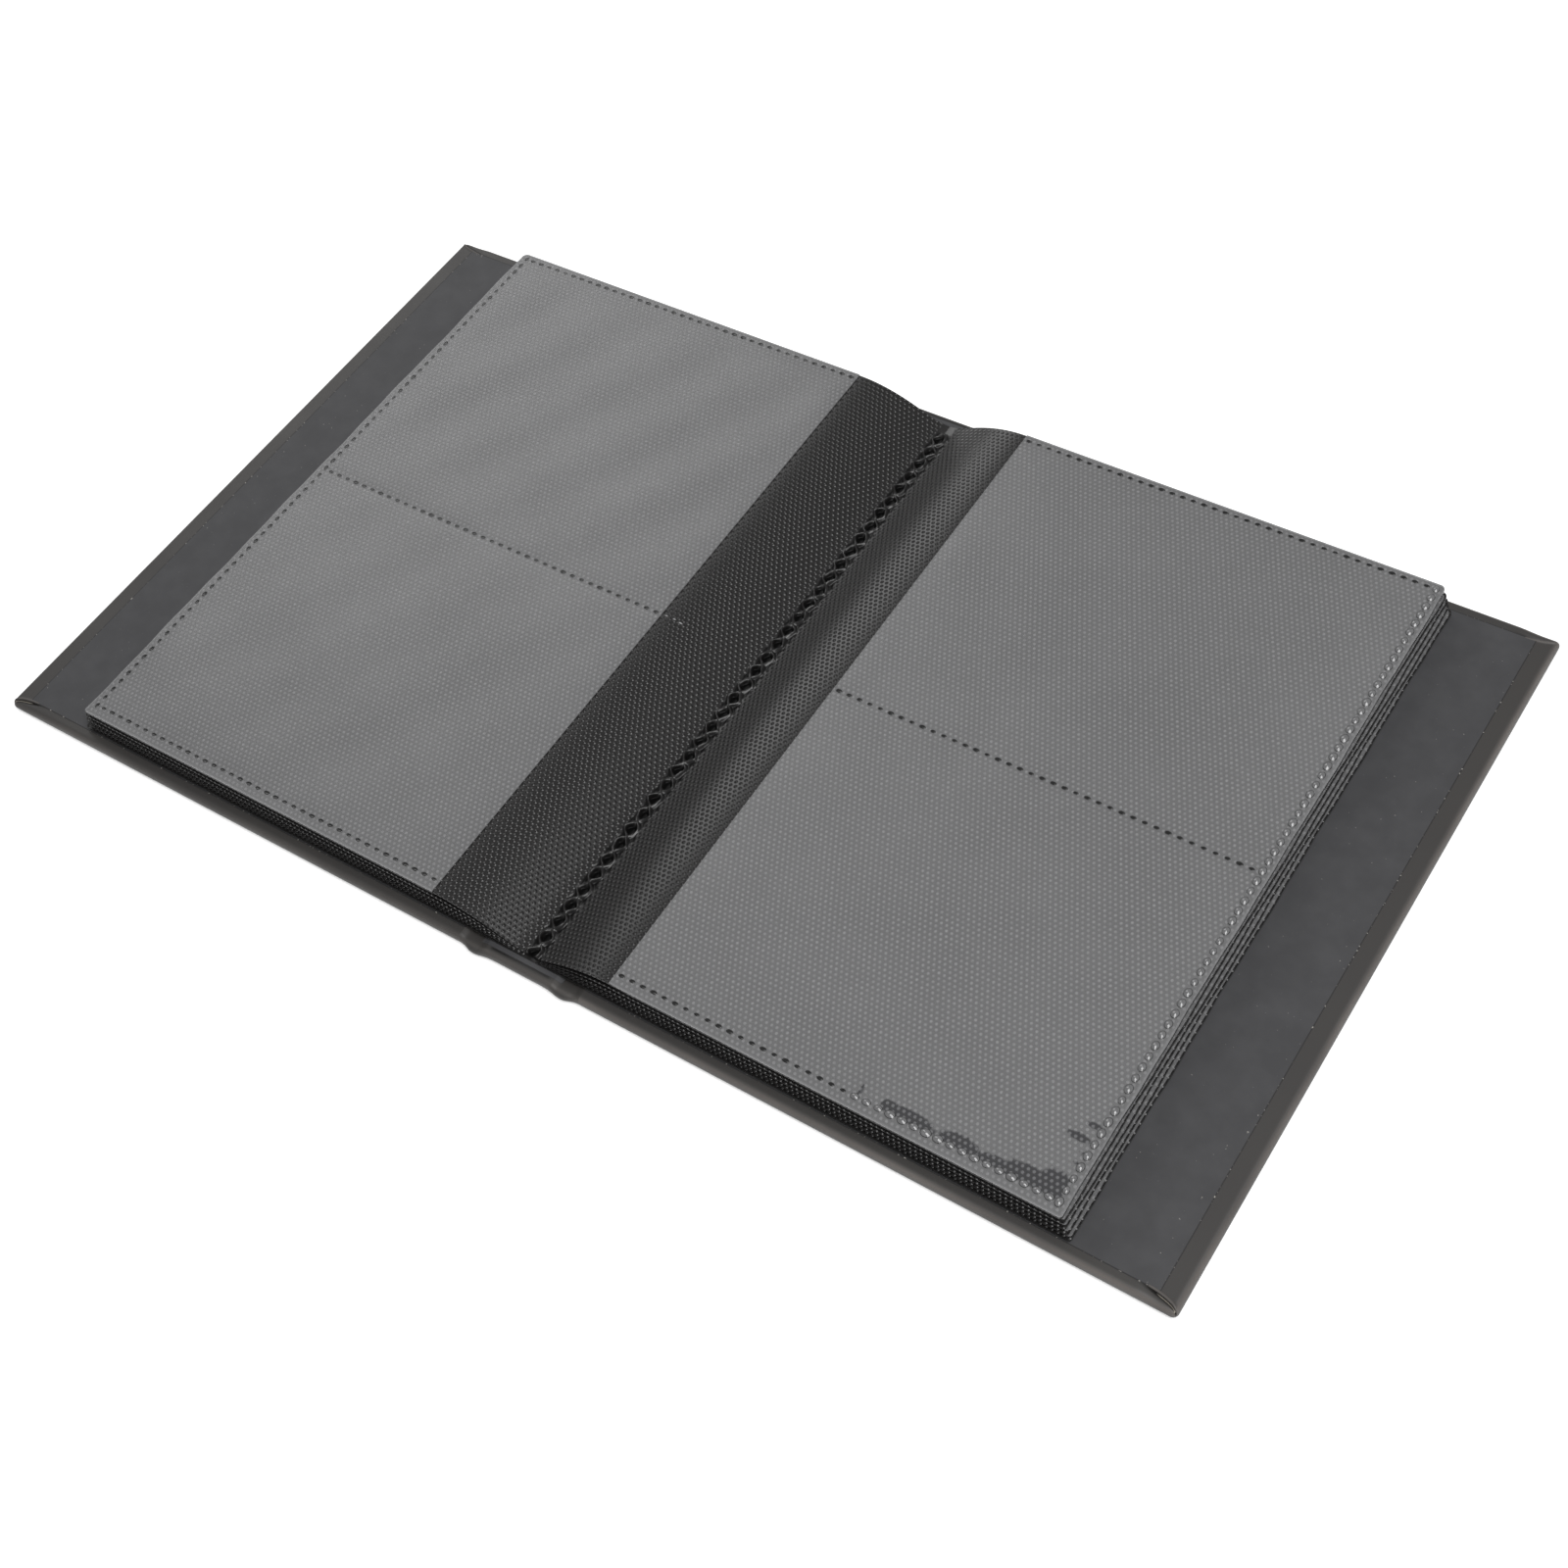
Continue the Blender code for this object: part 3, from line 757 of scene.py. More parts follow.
def spine_slab(name, x_from, x_to):
    """A slab between two places across the spine, grooved above and below, with round ends."""
    steps = max(6, int(abs(x_to - x_from) / CLOTH_STEP))
    x = np.concatenate([[x_from], np.linspace(x_from, x_to, steps + 1), [x_to]])
    ends = np.concatenate([rim_steps, stations((1.6, 16), (END_BAND + 0.8, 4), (9, 3), (30, 1))])
    along = np.concatenate([-COVER_END + ends, MIDDLE_ROWS, COVER_END - ends[::-1]])
    x, y = np.meshgrid(x, along, indexing="ij")
    groove = groove_share(x, y)
    body = rim_height(COVER_END - np.abs(y))
    body[[0, -1]] = 0
    middle = COVER_THICK * (0.5 - 0.12 * groove)
    top = middle + (COVER_THICK * (1 - GROOVE_DEPTH * groove) - middle) * body
    bottom = middle - (middle - UNDER_GROOVE * groove) * body

    def wear_and_painted_light(place):
        """A faint rub on the shoulder of the two ends, and a painted shadow where the strip's end
        stands off the cloth: a dark line across the spine."""
        from_end = COVER_END - np.abs(place[:, 1])
        upper = place[:, 2] > COVER_THICK / 2
        on_spine = 1 - ease(SPINE_HALF - 2, SPINE_HALF - 0.5, np.abs(place[:, 0]))
        # Painted shadow of the strip's end: a dark line across the spine cloth.
        strip_shadow = bell(from_end, STRIP_SHADOW_LINE, 0.4) * on_spine
        return SPINE_RUB * bell(from_end, 0.4, 0.5) * upper, strip_shadow * upper

    return case_slab(name, x, y - tail(x) * ease(60, 98, -y), top, bottom, wear_and_painted_light)


spine = spine_slab("spine_case_cloth", -SPINE_HALF, SPINE_HALF)
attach(spine, "spine")
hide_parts("spine_skin")
for side, sign in SIDES.items():
    piece = spine_slab(side + "_hinge_cloth", *sorted((sign * SPINE_HALF, sign * COVER_INNER)))
    bend_at_hinge(piece, side)

# %% [markdown]
# ## The strip inside the spine
#
# A strip of the lining paper covers the spine board and dips into both grooves. It shows only at the
# ends, in front of the block, where a thin dark line on the cloth is a painted shadow of its cut end.
# It is cut in the same three places as the cloth.

# %% Spine strip
STRIP_REACH = reach("spine_lining")[1]
STRIP_END = span("spine_lining")[1][1]
STRIP_SHOWS = 2.0
STRIP_HALF = 0.09


def spine_strip(name, x_from, x_to):
    """A thin sheet that follows the top of the grooved spine."""
    end = STRIP_END + STRIP_SHOWS
    along = stations((-end, 3), (-STRIP_END, 38), (STRIP_END, 3), (end, 1))
    x, y = np.meshgrid(np.linspace(x_from, x_to, 18), along, indexing="ij")
    height = COVER_THICK * (1 - GROOVE_DEPTH * groove_share(x, y))
    piece = thin_sheet(name, x, y, height + STRIP_HALF, height - STRIP_HALF, PAPER)
    return piece


strip = spine_strip("spine_strip", -SPINE_HALF, SPINE_HALF)
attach(strip, "spine")
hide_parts("spine_lining")
for side, sign in SIDES.items():
    piece = spine_strip(side + "_hinge_strip", *sorted((sign * SPINE_HALF, sign * STRIP_REACH)))
    bend_at_hinge(piece, side)

# %% [markdown]
# ## The black sheets
#
# Each black sheet runs from one page to the other through the weld. Seen from its end it lies at the
# bottom of a valley at the weld, where all five are pressed together, then it climbs to the level of
# its page. The climb starts at once on the right side and rounds off in a shoulder; on the left it
# starts later. The height is one function of the distance from the weld, and it is used for the middle,
# the bends and the pages alike, so the pieces meet without a step. A last row of points close to each
# join keeps the shading the same on both sides of it.

# %% Sheet height
PRESSED_LOW = 3.38
PRESSED_STEP = 0.09
WELD_LEVEL = 4.0
CLIMB_START = {"left": 4.5, "right": 2.5}
CLIMB_SOFT = 2.8


def page_level(side, leaf):
    """The height of a page's middle, halfway between its two films."""
    name = leaf_name(side, leaf)
    return (span(name + "_front_film")[0][2] + span(name + "_back_film")[1][2]) / 2


def film_reach(side, leaf):
    """Where a page's film starts and ends, from the spine's middle."""
    return reach(leaf_name(side, leaf) + "_front_film")


def climbed(side, leaf, x):
    """The share of its climb that a sheet has done: 1 - (1 - t)^2 of a ramp t with a softened start."""
    page = abs(SIDES[side] * film_reach(side, leaf)[0] - WELD_X)

    def curve(away):
        past = away - CLIMB_START[side]
        ramp = (past + np.sqrt(past**2 + CLIMB_SOFT**2)) / (2 * (page - CLIMB_START[side]))
        return 1 - (1 - np.minimum(ramp, 1)) ** 2

    return np.clip((curve(np.abs(x - WELD_X)) - curve(0)) / (1 - curve(0)), 0, 1)


def sheet_height(leaf, x):
    """Height of a sheet's middle: from its place in the pressed weld up to its page."""
    start = WELD_LEVEL if leaf == TOP_LEAF else PRESSED_LOW + PRESSED_STEP * (leaf - 1)
    rise = {side: (page_level(side, leaf) - start) * climbed(side, leaf, x) for side in SIDES}
    return start + np.where(x < WELD_X, rise["left"], rise["right"])


print("page levels", [round(page_level("right", leaf), 2) for leaf in LEAVES])

# %% Sheet pieces
SHEET_THICK = 0.4
PRESSED_THICK = 0.08
RECOVERY = 1.2
STAGGER = 0.2
JOIN = 0.05


def near_end(leaf):
    """How far a sheet reaches towards the near end. The lower sheets stand out a little more."""
    return PAGE_END + STAGGER * (TOP_LEAF - leaf)


def sheet_thick(leaf, x):
    """Thickness of a sheet. The four lower sheets are squeezed flat at the weld, and recover as they
    climb."""
    share = np.where(x < WELD_X, climbed("left", leaf, x), climbed("right", leaf, x))
    pressed = SHEET_THICK if leaf == TOP_LEAF else PRESSED_THICK
    return np.minimum(SHEET_THICK, pressed + RECOVERY * share)


def sheet_map(points, faces, ring):
    """Flat map of a closed sheet, one place in millimetres per face corner. On the wall the place moves
    to the nearest row of dots, so that the cut edge shows the emboss as well."""
    flat = points[faces][..., :2]
    wall = flat[-len(ring) :]
    step = np.abs(wall[:, 1] - wall[:, 0])
    runs_across = (step[:, 0] > step[:, 1])[:, None]
    pitch = np.array([DOT_ACROSS, DOT_ALONG]) / 2
    moved = np.round(wall / pitch) * pitch
    wall[..., 1] = np.where(runs_across, moved[..., 1], wall[..., 1])
    wall[..., 0] = np.where(runs_across, wall[..., 0], moved[..., 0])
    return flat.reshape(-1, 2)


def black_sheet(name, leaf, x, y, relief=0):
    """A closed piece of black sheet. The relief is added to its top."""
    height = sheet_height(leaf, x)
    half = sheet_thick(leaf, x) / 2
    piece = thin_sheet(name, x, y, height + half + relief, height - half, SHEET, sheet_map)
    return piece


print("near ends at", [round(near_end(leaf), 1) for leaf in LEAVES])

# %% [markdown]
# ## The weld
#
# The five sheets are welded by a hot bar with blunt teeth. Each tooth leaves a round pit, and the
# plastic it pushes aside stands up between the pits in a chain of crosses. Two triangle waves of
# opposite sign draw the chain. The ridge follows the distance to the nearer wave, and an oval bowl is
# sunk into each diamond. The pits and the hollows beside the ridges are painted black and without
# gloss, as shade.

# %% Weld shape
WELD_PITCH = 5.0
WELD_HALF = 1.9
WELD_END = 92
PIT_ACROSS = 1.45
PIT_ALONG = 1.65
PIT_DEPTH = 0.35
RIDGE_RISE = 0.65
RIDGE_WIDE = 0.5
BESIDE_DEPTH = 0.2
# The hollows beside the ridges get this share of the pits' painted shade.
BESIDE_SHADE = 0.8


def cross_weld(x, y):
    """Height of the weld, and its painted shade from 0 to 1: full in a pit and less in the hollow
    beside a ridge. With v the distance along the spine from the nearest pit, the ridges run where x is
    plus or minus the half width times 1 - 2 v / pitch. They wander and swell a little along the spine."""
    across = np.abs(x + 0.18 * np.sin(y * 1.9) + 0.12 * np.sin(y * 0.71 + 2))
    v = np.abs(y - WELD_PITCH * np.round(y / WELD_PITCH))
    inside = (WELD_HALF * (1 - 2 * v / WELD_PITCH) - across) / np.hypot(1, 2 * WELD_HALF / WELD_PITCH)
    in_band = 1 - ease(WELD_HALF - 0.2, WELD_HALF + 0.5, across)
    bowl = 1 - ease(0.6, 1.05, np.hypot(across / PIT_ACROSS, v / PIT_ALONG))
    beside = ease(0.3, 0.9, -inside) * in_band
    swell = 1 + 0.3 * np.sin(y * 1.37) + 0.25 * np.sin(y * 0.53 + 1 + np.sign(x))
    ridge = RIDGE_RISE * swell * bell(inside, 0, RIDGE_WIDE) * in_band * (1 - bowl)
    kept = 1 - ease(WELD_END, WELD_END + 1, y)
    height = ridge - PIT_DEPTH * bowl - BESIDE_DEPTH * beside
    return kept * height, kept * np.maximum(bowl, BESIDE_SHADE * beside)


print("weld", 2 * WELD_HALF, "mm wide, with a pit every", WELD_PITCH)

# %% Middle of the sheets
PRESSED_HALF = 2.3
DENSE_HALF = 2.5


def sheet_middle(leaf):
    """The bound middle of a sheet, between the lines where its two pages start to turn."""
    fine = leaf == TOP_LEAF
    first, last = BARREL["left"][0], BARREL["right"][0]
    dense = (WELD_X - DENSE_HALF, 36 if fine else 4), (WELD_X + DENSE_HALF, 5)
    x = stations((first, 1), (first + JOIN, 5), *dense, (last - JOIN, 1), (last, 1))
    y = np.linspace(-near_end(leaf), PAGE_END, 873 if fine else 49)
    x, y = np.meshgrid(x, y, indexing="ij")
    relief, sunk = cross_weld(x - WELD_X, y) if fine else (0, np.zeros(x.shape))
    piece = black_sheet("sheet_%d_middle" % leaf, leaf, x, y, relief)
    pressed = 1 - ease(PRESSED_HALF - 0.5, PRESSED_HALF + 0.3, np.abs(x - WELD_X))
    mark(piece, "pressed", np.stack([pressed, pressed]))
    # The weld's painted shade, on the top face only.
    mark(piece, "sunk", np.stack([sunk, 0 * sunk]))
    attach(piece, "spine")
    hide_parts("gutter_%d" % leaf)
    return piece


for leaf in LEAVES:
    piece = sheet_middle(leaf)
    print(piece.name, len(piece.data.polygons), "faces")
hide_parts("centre_weld")

# %% [markdown]
# ## Where the sheets bend
# A page turns because its sheet bends beside the weld. A page that lies on four others turns with each
# of them as well, so its bend is cut into short lengths. The first length lies between the spine and
# the lowest page, and each further length reaches one page further. The lengths are fixed where they
# lie; none is given a turn. All of them share one hinge
# line, so neighbours stay joined at every angle.

# %% Bends
BEND_STOPS = (0, 6, 8.5, 11, 13.5, 16)


def bend(side, leaf, length):
    """One length of a sheet's bend, from the body below it to the next page up."""
    axis = BARREL[side]
    ends = [axis[0] + SIDES[side] * stop for stop in BEND_STOPS[length - 1 : length + 1]]
    low, high = sorted(ends)
    x = stations((low, 1), (low + JOIN, 12), (high - JOIN, 1), (high, 1))
    y = np.linspace(-near_end(leaf), PAGE_END, 97)
    x, y = np.meshgrid(x, y, indexing="ij")
    piece = black_sheet("%s_bend_%d_%d" % (side, leaf, length), leaf, x, y)
    below = "spine" if length == 1 else leaf_name(side, length - 1)
    start, end = [(place * MM, 0, axis[2] * MM) for place in ends]
    leaf_name(side, length)
    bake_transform(piece)
    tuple(start)
    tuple(end)


for side in SIDES:
    for leaf in LEAVES:
        for length in range(1, leaf + 1):
            bend(side, leaf, length)
print("bends", len(SIDES) * sum(LEAVES))

# %% [markdown]
# ## The pages
#
# A page's black backing is flat, with round outer corners. Bending a square corner of the grid into a
# quarter circle keeps it a plain grid. The outer edge is knife-cut by hand, so it wanders by a tenth of
# a millimetre or two, differently on each page.

# %% Page outline
CORNER = 1.5
NEAR_CORNER = 0.75
EDGE_BAND = 4


def round_corners(s, y, outer, near, far):
    """Bend the two outer corners of a page's grid into quarter circles. The near corner is sharper."""
    end = np.where(y < 0, near, far)
    radius = np.where(y < 0, NEAR_CORNER, CORNER)
    a = np.clip((s - outer + radius) / radius, 0, 1)
    b = np.clip((np.abs(y) - end + radius) / radius, 0, 1)
    both = (a > 0) & (b > 0)
    round_a, round_b = quarter_circle(a, b)
    round_s = np.where(both, outer - radius + radius * round_a, s)
    return round_s, np.where(both, np.sign(y) * (end - radius + radius * round_b), y)


def edge_wander(leaf, s, y, outer):
    """How far the cut wanders: two sine waves along the edge, felt over the last few millimetres of the
    page."""
    wave = 0.1 * np.sin(y / 7.3 + 1.9 * leaf) + 0.07 * np.sin(y / 2.6 + 2.7 * leaf)
    return wave * ease(outer - EDGE_BAND, outer, s)


print("page corners", NEAR_CORNER, "and", CORNER, "mm round")

# %% Pages
def page(side, leaf):
    """A page's backing, from the end of its bend to its outer edge."""
    sign = SIDES[side]
    inner, outer = film_reach(side, leaf)
    near = near_end(leaf)
    start = sign * BARREL[side][0] + BEND_STOPS[leaf]
    rim = (outer - EDGE_BAND, 5), (outer - CORNER, 6), (outer, 1)
    s = stations((start, 1), (start + JOIN, 24), (inner + 1, 14), *rim)
    y = stations((-near, 6), (-near + CORNER, 120), (PAGE_END - CORNER, 6), (PAGE_END, 1))
    s, y = np.meshgrid(s[::sign], y, indexing="ij")
    s, y = round_corners(s, y, outer, near, PAGE_END)
    x = sign * (s + edge_wander(leaf, s, y, outer))
    piece = black_sheet("%s_page_%d" % (side, leaf), leaf, x, y)
    body = leaf_name(side, leaf)
    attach(piece, body)
    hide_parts(body + "_backing")


for side in SIDES:
    for leaf in LEAVES:
        page(side, leaf)
print("pages", len(SIDES) * len(LEAVES))

# %% [markdown]
# ## The films
#
# A film lies flat where it is welded: along three edges of the page and across its middle. Between the
# welds it lifts off a little, which is what makes a pocket, and a few slow waves run across it. The
# weld is a row of short dashes, pressed by a toothed bar. Each dash is a small crater: a rim, and a
# dark floor where film and backing have fused. In two rows of the right page the bar was hotter, and
# the film has run together into shiny beads.

# %% Film shape
DASH_PITCH = 3.0
SIDE_WELD = 2.0
NEAR_WELD = 3.0
FAR_WELD = 1.8
FIRST_DASH = 1.6
WAVE_RISE = 0.08
WAVE_LENGTHS = (27, 41)


def waves(side, x, y):
    """Slow waves in the film: two sine fields that cross at a slant. They are strongest in the left
    page's far pocket."""
    turn = SIDES[side]
    first = np.sin(2 * np.pi * (x + 0.55 * turn * y) / WAVE_LENGTHS[0] + turn)
    second = np.sin(2 * np.pi * (0.4 * x - turn * y) / WAVE_LENGTHS[1] + 2.1)
    strength = np.where(turn < 0, 0.8 + 0.9 * ease(0, 40, y), 1.0)
    return strength * WAVE_RISE * (first + second)


def dashes(inner, outer):
    """Places of the weld dashes, one row per dash: distance from the spine, place along it, and
    direction. The rows are the outer edge, the near edge, the far edge and the line across the page."""
    near, far = -PAGE_END + NEAR_WELD, PAGE_END - FAR_WELD
    up = np.linspace(near, far, int(round((far - near) / DASH_PITCH)) + 1)
    over = np.arange(inner + FIRST_DASH, outer - SIDE_WELD - 0.5 * DASH_PITCH, DASH_PITCH)
    rows = [np.stack([np.full_like(up, outer - SIDE_WELD), up, 0 * up, 0 * up + 1], axis=-1)]
    for level in (near, far, 0):
        rows.append(np.stack([over, np.full_like(over, level), 0 * over + 1, 0 * over], axis=-1))
    return np.concatenate(rows)


print("dashes on a page", len(dashes(*film_reach("right", TOP_LEAF))))

# %% Weld dashes
RING = np.array([0.0, 0.35, 0.62, 0.82, 1.0])
AROUND = 12
SIZE_SPREAD = (0.85, 1.15)


def ovals(marks, size, rings, base, face, sign):
    """Ovals of five rings at the marks: the rings' heights make a crater or a bead. Sizes and heights
    differ a little from oval to oval."""
    chance = np.random.default_rng(len(marks))
    scale = chance.uniform(*SIZE_SPREAD, (len(marks), 1, 1))
    angle = np.linspace(0, 2 * np.pi, AROUND, endpoint=False)
    ring, angle = np.meshgrid(RING, angle, indexing="ij")
    long_way = scale * size[0] / 2 * ring * np.cos(angle)
    wide_way = scale * size[1] / 2 * ring * np.sin(angle)
    middle = marks[:, None, None, :2]
    way = marks[:, None, None, 2:]
    s = middle[..., 0] + long_way * way[..., 0] - wide_way * way[..., 1]
    y = middle[..., 1] + long_way * way[..., 1] + wide_way * way[..., 0]
    z = np.broadcast_to(base, (len(marks),))[:, None, None] + face * scale * rings[:, None]
    points = np.stack([sign * s, y, np.broadcast_to(z, s.shape)], axis=-1).reshape(-1, 3)
    steps = np.arange(len(marks)) * RING.size * AROUND
    faces = (steps[:, None, None] + quads(RING.size, AROUND, ring=True)).reshape(-1, 4)
    return points, faces[:, ::-1] if sign * face > 0 else faces


print("dashes", RING.size, "rings of", AROUND)

# %% Rows of dashes
FILM_PAINT, EDGE_PAINT, WELD_PAINT, BEAD_PAINT = range(4)
BEAD_ROW = 53
# A fleck is placed like a dash: distance from the spine, place along it, and direction.
FLECKS = np.array([(24.9, 0.4, 1.0, 0.0), (22.6, 0.5, 1.0, 0.0), (20.6, 0.3, 1.0, 0.0)])
# Each kind of oval has a size, the heights of its rings, and a material for each space between rings.
CRATER = (1.75, 1.0), np.array([0.02, 0.025, 0.04, 0.1, -0.06]), (WELD_PAINT,) * 4
BEADS = (2.6, 2.0), np.array([0.48, 0.42, 0.26, 0.08, -0.06]), (BEAD_PAINT,) * 3 + (WELD_PAINT,)
FLECK = (1.2, 0.4), np.array([0.07, 0.065, 0.05, 0.03, -0.06]), (EDGE_PAINT,) * 4


def film_ovals(side, leaf, face, base, inner, outer):
    """Points, quads and material numbers of a film's ovals: the craters of the weld on every film, the
    beads in the hot rows of the right page, and a few flecks beside the left one."""
    sign = SIDES[side]
    shown = leaf == TOP_LEAF and face > 0
    marks = dashes(inner, outer)
    near_row = (marks[:, 1] < -PAGE_END + NEAR_WELD + 1) & (marks[:, 0] > outer - BEAD_ROW)
    hot = (shown and side == "right") & ((marks[:, 3] == 1) | near_row)
    groups = [(marks[~hot], base, CRATER)]
    if hot.any():
        groups.append((marks[hot], base, BEADS))
    if shown and side == "left":
        groups.append((FLECKS, sheet_height(leaf, sign * FLECKS[:, 0]) + SHEET_THICK / 2, FLECK))
    for places, ground, (size, rings, paints) in groups:
        points, faces = ovals(places, size, rings, ground, face, sign)
        yield points, faces, np.tile(np.repeat(np.array(paints, dtype=np.int32), AROUND), len(places))


print("crater", CRATER[0], "bead", BEADS[0], "fleck", FLECK[0])

# %% [markdown]
# ## Where the film sticks
#
# At the near outer corner of the right page the film has been pulled down onto its backing. It sticks
# there in dark, shiny tongues that run in from the weld. Each tongue is a soft oval at a place measured
# from the page's corner, and the film's material tears its border.

# %% Sticking film
TONGUES = (
    (52, 4.8, 0.7, 2.2),
    (44.5, 4.4, 2.6, 2.2),
    (39, 4.0, 8.0, 2.7),
    (27, 4.0, 6.6, 3.0),
    (18, 3.8, 6.0, 2.5),
    (11, 4.6, 7.5, 3.6),
    (5, 5.8, 5.0, 4.6),
    (5.6, 18.2, 3.8, 1.2),
    (3.9, 22, 2.4, 1.0),
    (3.4, 12.6, 1.1, 0.6),
    (3.3, 15.2, 0.9, 0.6),
)
WELD_SOFT = 0.6


def sticking(from_edge, from_end):
    """1 where the film sticks. A tongue is 1 inside an oval, given by its place from the corner and its
    half sizes. The film doesn't stick outside the weld."""
    share = np.zeros(from_edge.shape)
    for place, end, half_x, half_y in TONGUES:
        away = np.hypot((from_edge - place) / half_x, (from_end - end) / half_y)
        share = np.maximum(share, 1 - ease(0.5, 1.2, away))
    for distance, weld in ((from_end, NEAR_WELD), (from_edge, SIDE_WELD)):
        share = share * ease(weld - WELD_SOFT, weld + WELD_SOFT, distance)
    return share


print("tongues", len(TONGUES))

# %% Film grid
FINE_ACROSS = 55
FINE_ALONG = 28
CENTRE_BAND = 3


def film_grid(inner, outer, near, far, sign, shown):
    """A film's grid, finer on a page that shows, most of all near its outer edge and its near end."""
    s_steps, y_steps = ((26, 92), (50, 64, 10, 60)) if shown else ((12, 10), (10, 12, 6, 20))
    s_stops = (inner, outer - FINE_ACROSS, outer - CORNER)
    y_stops = (-near + CORNER, -PAGE_END + FINE_ALONG, -CENTRE_BAND, CENTRE_BAND, far - CORNER)
    s = stations(*zip(s_stops, (*s_steps, 6)), (outer, 1))
    y = stations((-near, 6), *zip(y_stops, (*y_steps, 6)), (far, 1))
    s, y = np.meshgrid(s[::sign], y, indexing="ij")
    return round_corners(s, y, outer, near, far)


sample = film_grid(*film_reach("right", TOP_LEAF), PAGE_END, PAGE_END, 1, True)
print("points of a page that shows", sample[0].size)

# %% Films
FILM_THICK = 0.15
FILM_GAP = 0.16
FILM_INSET = 0.8
SIDE_INSET = 0.35
POUCH = 0.2
POUCH_SOFT = 3
RIM_PALE = 0.7


def film(side, leaf, face):
    """A film with its pockets, its cut edges and its weld dashes, in one piece. The pocket lifts off by
    1 - exp(-d / 3), with d the distance from the weld."""
    sign = SIDES[side]
    node = leaf_name(side, leaf) + ("_front_film" if face > 0 else "_back_film")
    low, high = span(node)
    level = (low[2] if face > 0 else high[2]) + face * FILM_THICK / 2
    shown = leaf == TOP_LEAF and face > 0
    inner, outer = film_reach(side, leaf)
    near = far = PAGE_END
    if leaf != TOP_LEAF:
        outer, near, far = outer - SIDE_INSET, near_end(leaf) - FILM_INSET, PAGE_END - FILM_INSET
    s, y = film_grid(inner, outer, near, far, sign, shown)
    s = s + edge_wander(leaf, s, y, outer)
    ends = [y + PAGE_END - NEAR_WELD, PAGE_END - FAR_WELD - y, np.abs(y)]
    inset = np.minimum.reduce([outer - SIDE_WELD - s, s - inner + 0.2, *ends])
    lifted = 1 - np.exp(-np.clip(inset - 0.4, 0, None) / POUCH_SOFT)
    height = (POUCH + waves(side, sign * s, y) * shown) * lifted
    above = level + face * (height + FILM_THICK / 2)
    below = level + face * (height - FILM_THICK / 2 - FILM_GAP * (1 - lifted))
    points, faces, ring = sheet_parts(sign * s, y, np.maximum(above, below), np.minimum(above, below))
    paint = np.full(len(faces), FILM_PAINT, dtype=np.int32)
    # A back film's cut edge faces down into shade, so it gets the black weld plastic as painted shade.
    # A front film's edge keeps the pale cut-film colour.
    paint[-len(ring) :] = EDGE_PAINT if face > 0 else WELD_PAINT
    base = level + face * FILM_THICK / 2
    parts = [(points, faces, paint), *film_ovals(side, leaf, face, base, inner, outer)]
    firsts = np.cumsum([0, *[len(part[0]) for part in parts]])
    points = np.concatenate([part[0] for part in parts])
    faces = np.concatenate([part[1] + first for part, first in zip(parts, firsts)])
    paint = np.concatenate([part[2] for part in parts])
    materials = [FILM[side], FILM_EDGE, WELD, BEAD]
    piece = add_piece(node + "_sheet", points, faces, materials, points[faces][..., :2], paint)
    sharpen(piece.data, ring, s.size)
    if shown:
        rim = np.zeros(len(points))
        border = np.minimum.reduce([outer - s, y + near, far - y])
        rim[: s.size] = RIM_PALE * (1 - ease(0.15, 0.6, border)).ravel()
        mark(piece, "rim", rim)
    if shown and side == "right":
        mark(piece, "stuck", sticking(outer - points[:, 0], points[:, 1] + PAGE_END))
    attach(piece, leaf_name(side, leaf))
    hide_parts(node)
    return piece


for side in SIDES:
    for leaf in LEAVES:
        for face in (1, -1):
            piece = film(side, leaf, face)
    print(piece.name, len(piece.data.polygons), "faces")

# %% [markdown]
# ## Hidden boards
#
# The boards are wrapped all over and don't show. They keep their solids, and get grey pulp board so
# that a cut through the model would look right.

# %% Boards
PULP_FLECK = 1.2
PULP_TONES = linear("#6f6a62"), linear("#a49e93")
BOARD = clouded("grey_pulp_board_pressed", PULP_FLECK, 6.0, PULP_TONES, {"Roughness": 0.9})
for name in ("left_board", "right_board", "spine_board"):
    solid = frame["nodes"][name]
    solid.data.materials.clear()
    solid.data.materials.append(BOARD)
print("boards in", BOARD.name)

# %% [markdown]
# ## Floor, light and camera
#
# The picture is a studio shot on white. A wide softbox hangs above the album, to its right and a little
# in front. A weaker panel at the back left draws the sheen on the left page, and a glint on the flank
# of each dot. The floor is matte paint, nearly white. It glows a little, so it stays white under a
# light that is right for the black album.

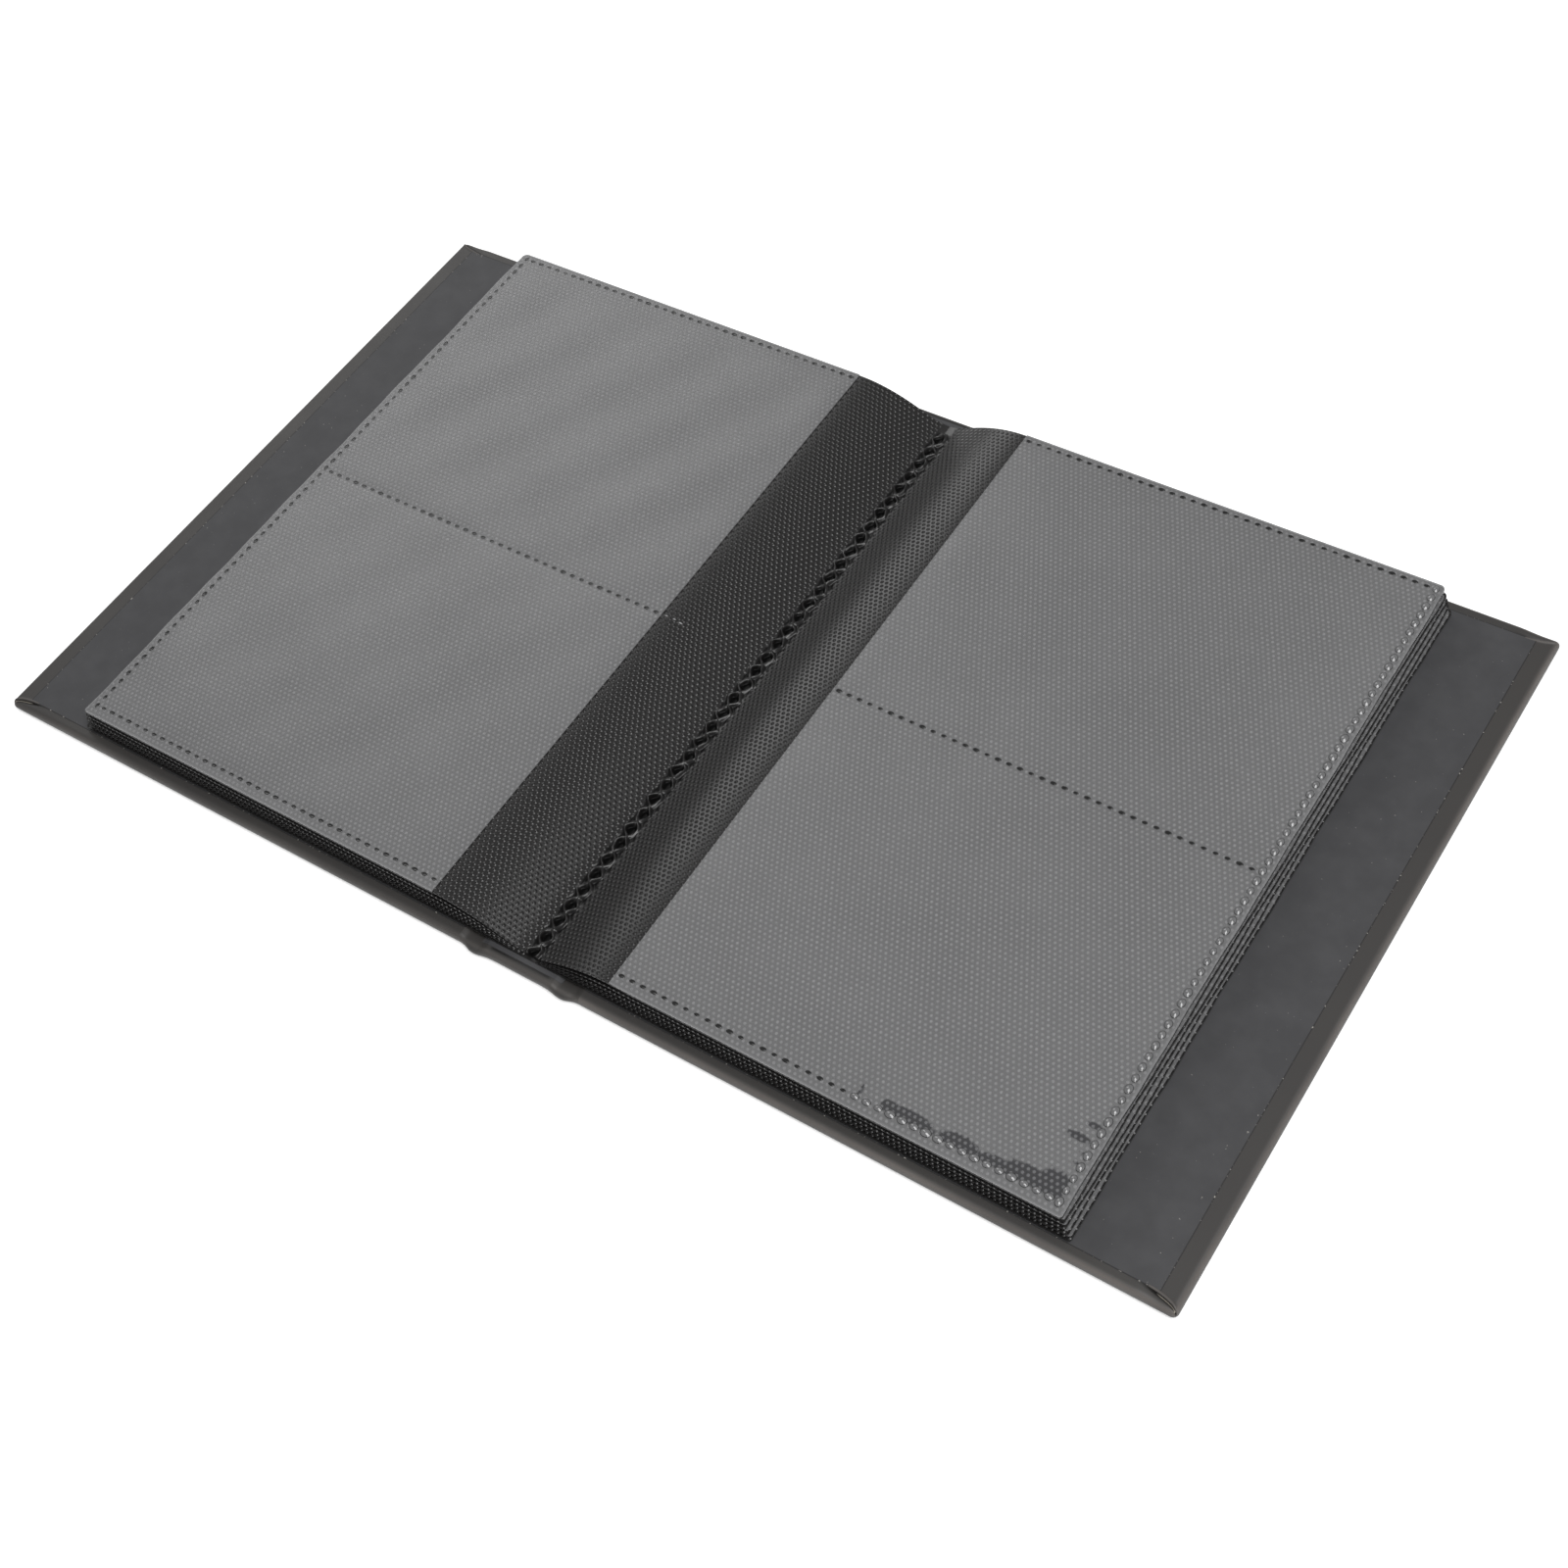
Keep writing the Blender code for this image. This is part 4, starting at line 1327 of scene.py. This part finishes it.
# %% Floor
FLOOR_HALF = 3000
FLOOR_DROP = 0.05
FLOOR_CLOUD = 500
FLOOR_TONES = linear("#f6f6f6"), linear("#fafafa")
FLOOR_FINISH = {"Roughness": 0.85, "Emission Color": (1, 1, 1, 1), "Emission Strength": 0.35}
floor_paint = clouded("white_studio_floor_painted", FLOOR_CLOUD, 2.0, FLOOR_TONES, FLOOR_FINISH)
corners = np.array([[-1, -1, 0], [-1, 1, 0], [1, -1, 0], [1, 1, 0]]) * FLOOR_HALF
floor = add_piece("studio_floor", corners - np.array([0, 0, FLOOR_DROP]), quads(2, 2), [floor_paint])
print("floor", 2 * FLOOR_HALF, "wide")

# %% Light
WORLD_GLOW = 0.3


def panel(name, at, size, power):
    """A square soft light at a place in millimetres, turned to the middle of the album."""
    light = bpy.data.lights.new(name, "AREA")
    light.shape = "SQUARE"
    light.size = size * MM
    light.energy = power
    lamp = bpy.data.objects.new(name, light)
    bpy.context.collection.objects.link(lamp)
    lamp.location = Vector(at) * MM
    lamp.rotation_euler = (-Vector(at)).to_track_quat("-Z", "Y").to_euler()


panel("overhead_softbox", at=(700, -300, 1600), size=1200, power=25.2)
panel("back_left_panel", at=(-1300, 1000, 1100), size=900, power=6.2)
world = bpy.data.worlds.new("studio_white")
world.use_nodes = True
wire(world.node_tree.nodes["Background"], {"Color": (1, 1, 1, 1), "Strength": WORLD_GLOW})
bpy.context.scene.world = world
bpy.context.scene.view_settings.view_transform = "Standard"
print("lights", [lamp.name for lamp in bpy.data.lights])

# %% Camera
CAMERA_AT = Vector((254.1, -268.2, 447.3))
CAMERA_AIM = Vector((25.3, -23.7, 0))
CAMERA_ROLL = np.radians(-12.29)
CAMERA_LENS = 52.17
SENSOR = 36
camera = bpy.data.cameras.new("camera")
camera.lens = CAMERA_LENS
camera.sensor_width = SENSOR
viewer = bpy.data.objects.new("camera", camera)
bpy.context.collection.objects.link(viewer)
aim = (CAMERA_AIM - CAMERA_AT).to_track_quat("-Z", "Y").to_matrix().to_4x4()
viewer.matrix_world = Matrix.Translation(CAMERA_AT * MM) @ aim @ Matrix.Rotation(CAMERA_ROLL, 4, "Z")
bpy.context.scene.camera = viewer
print("camera", CAMERA_LENS, "mm")
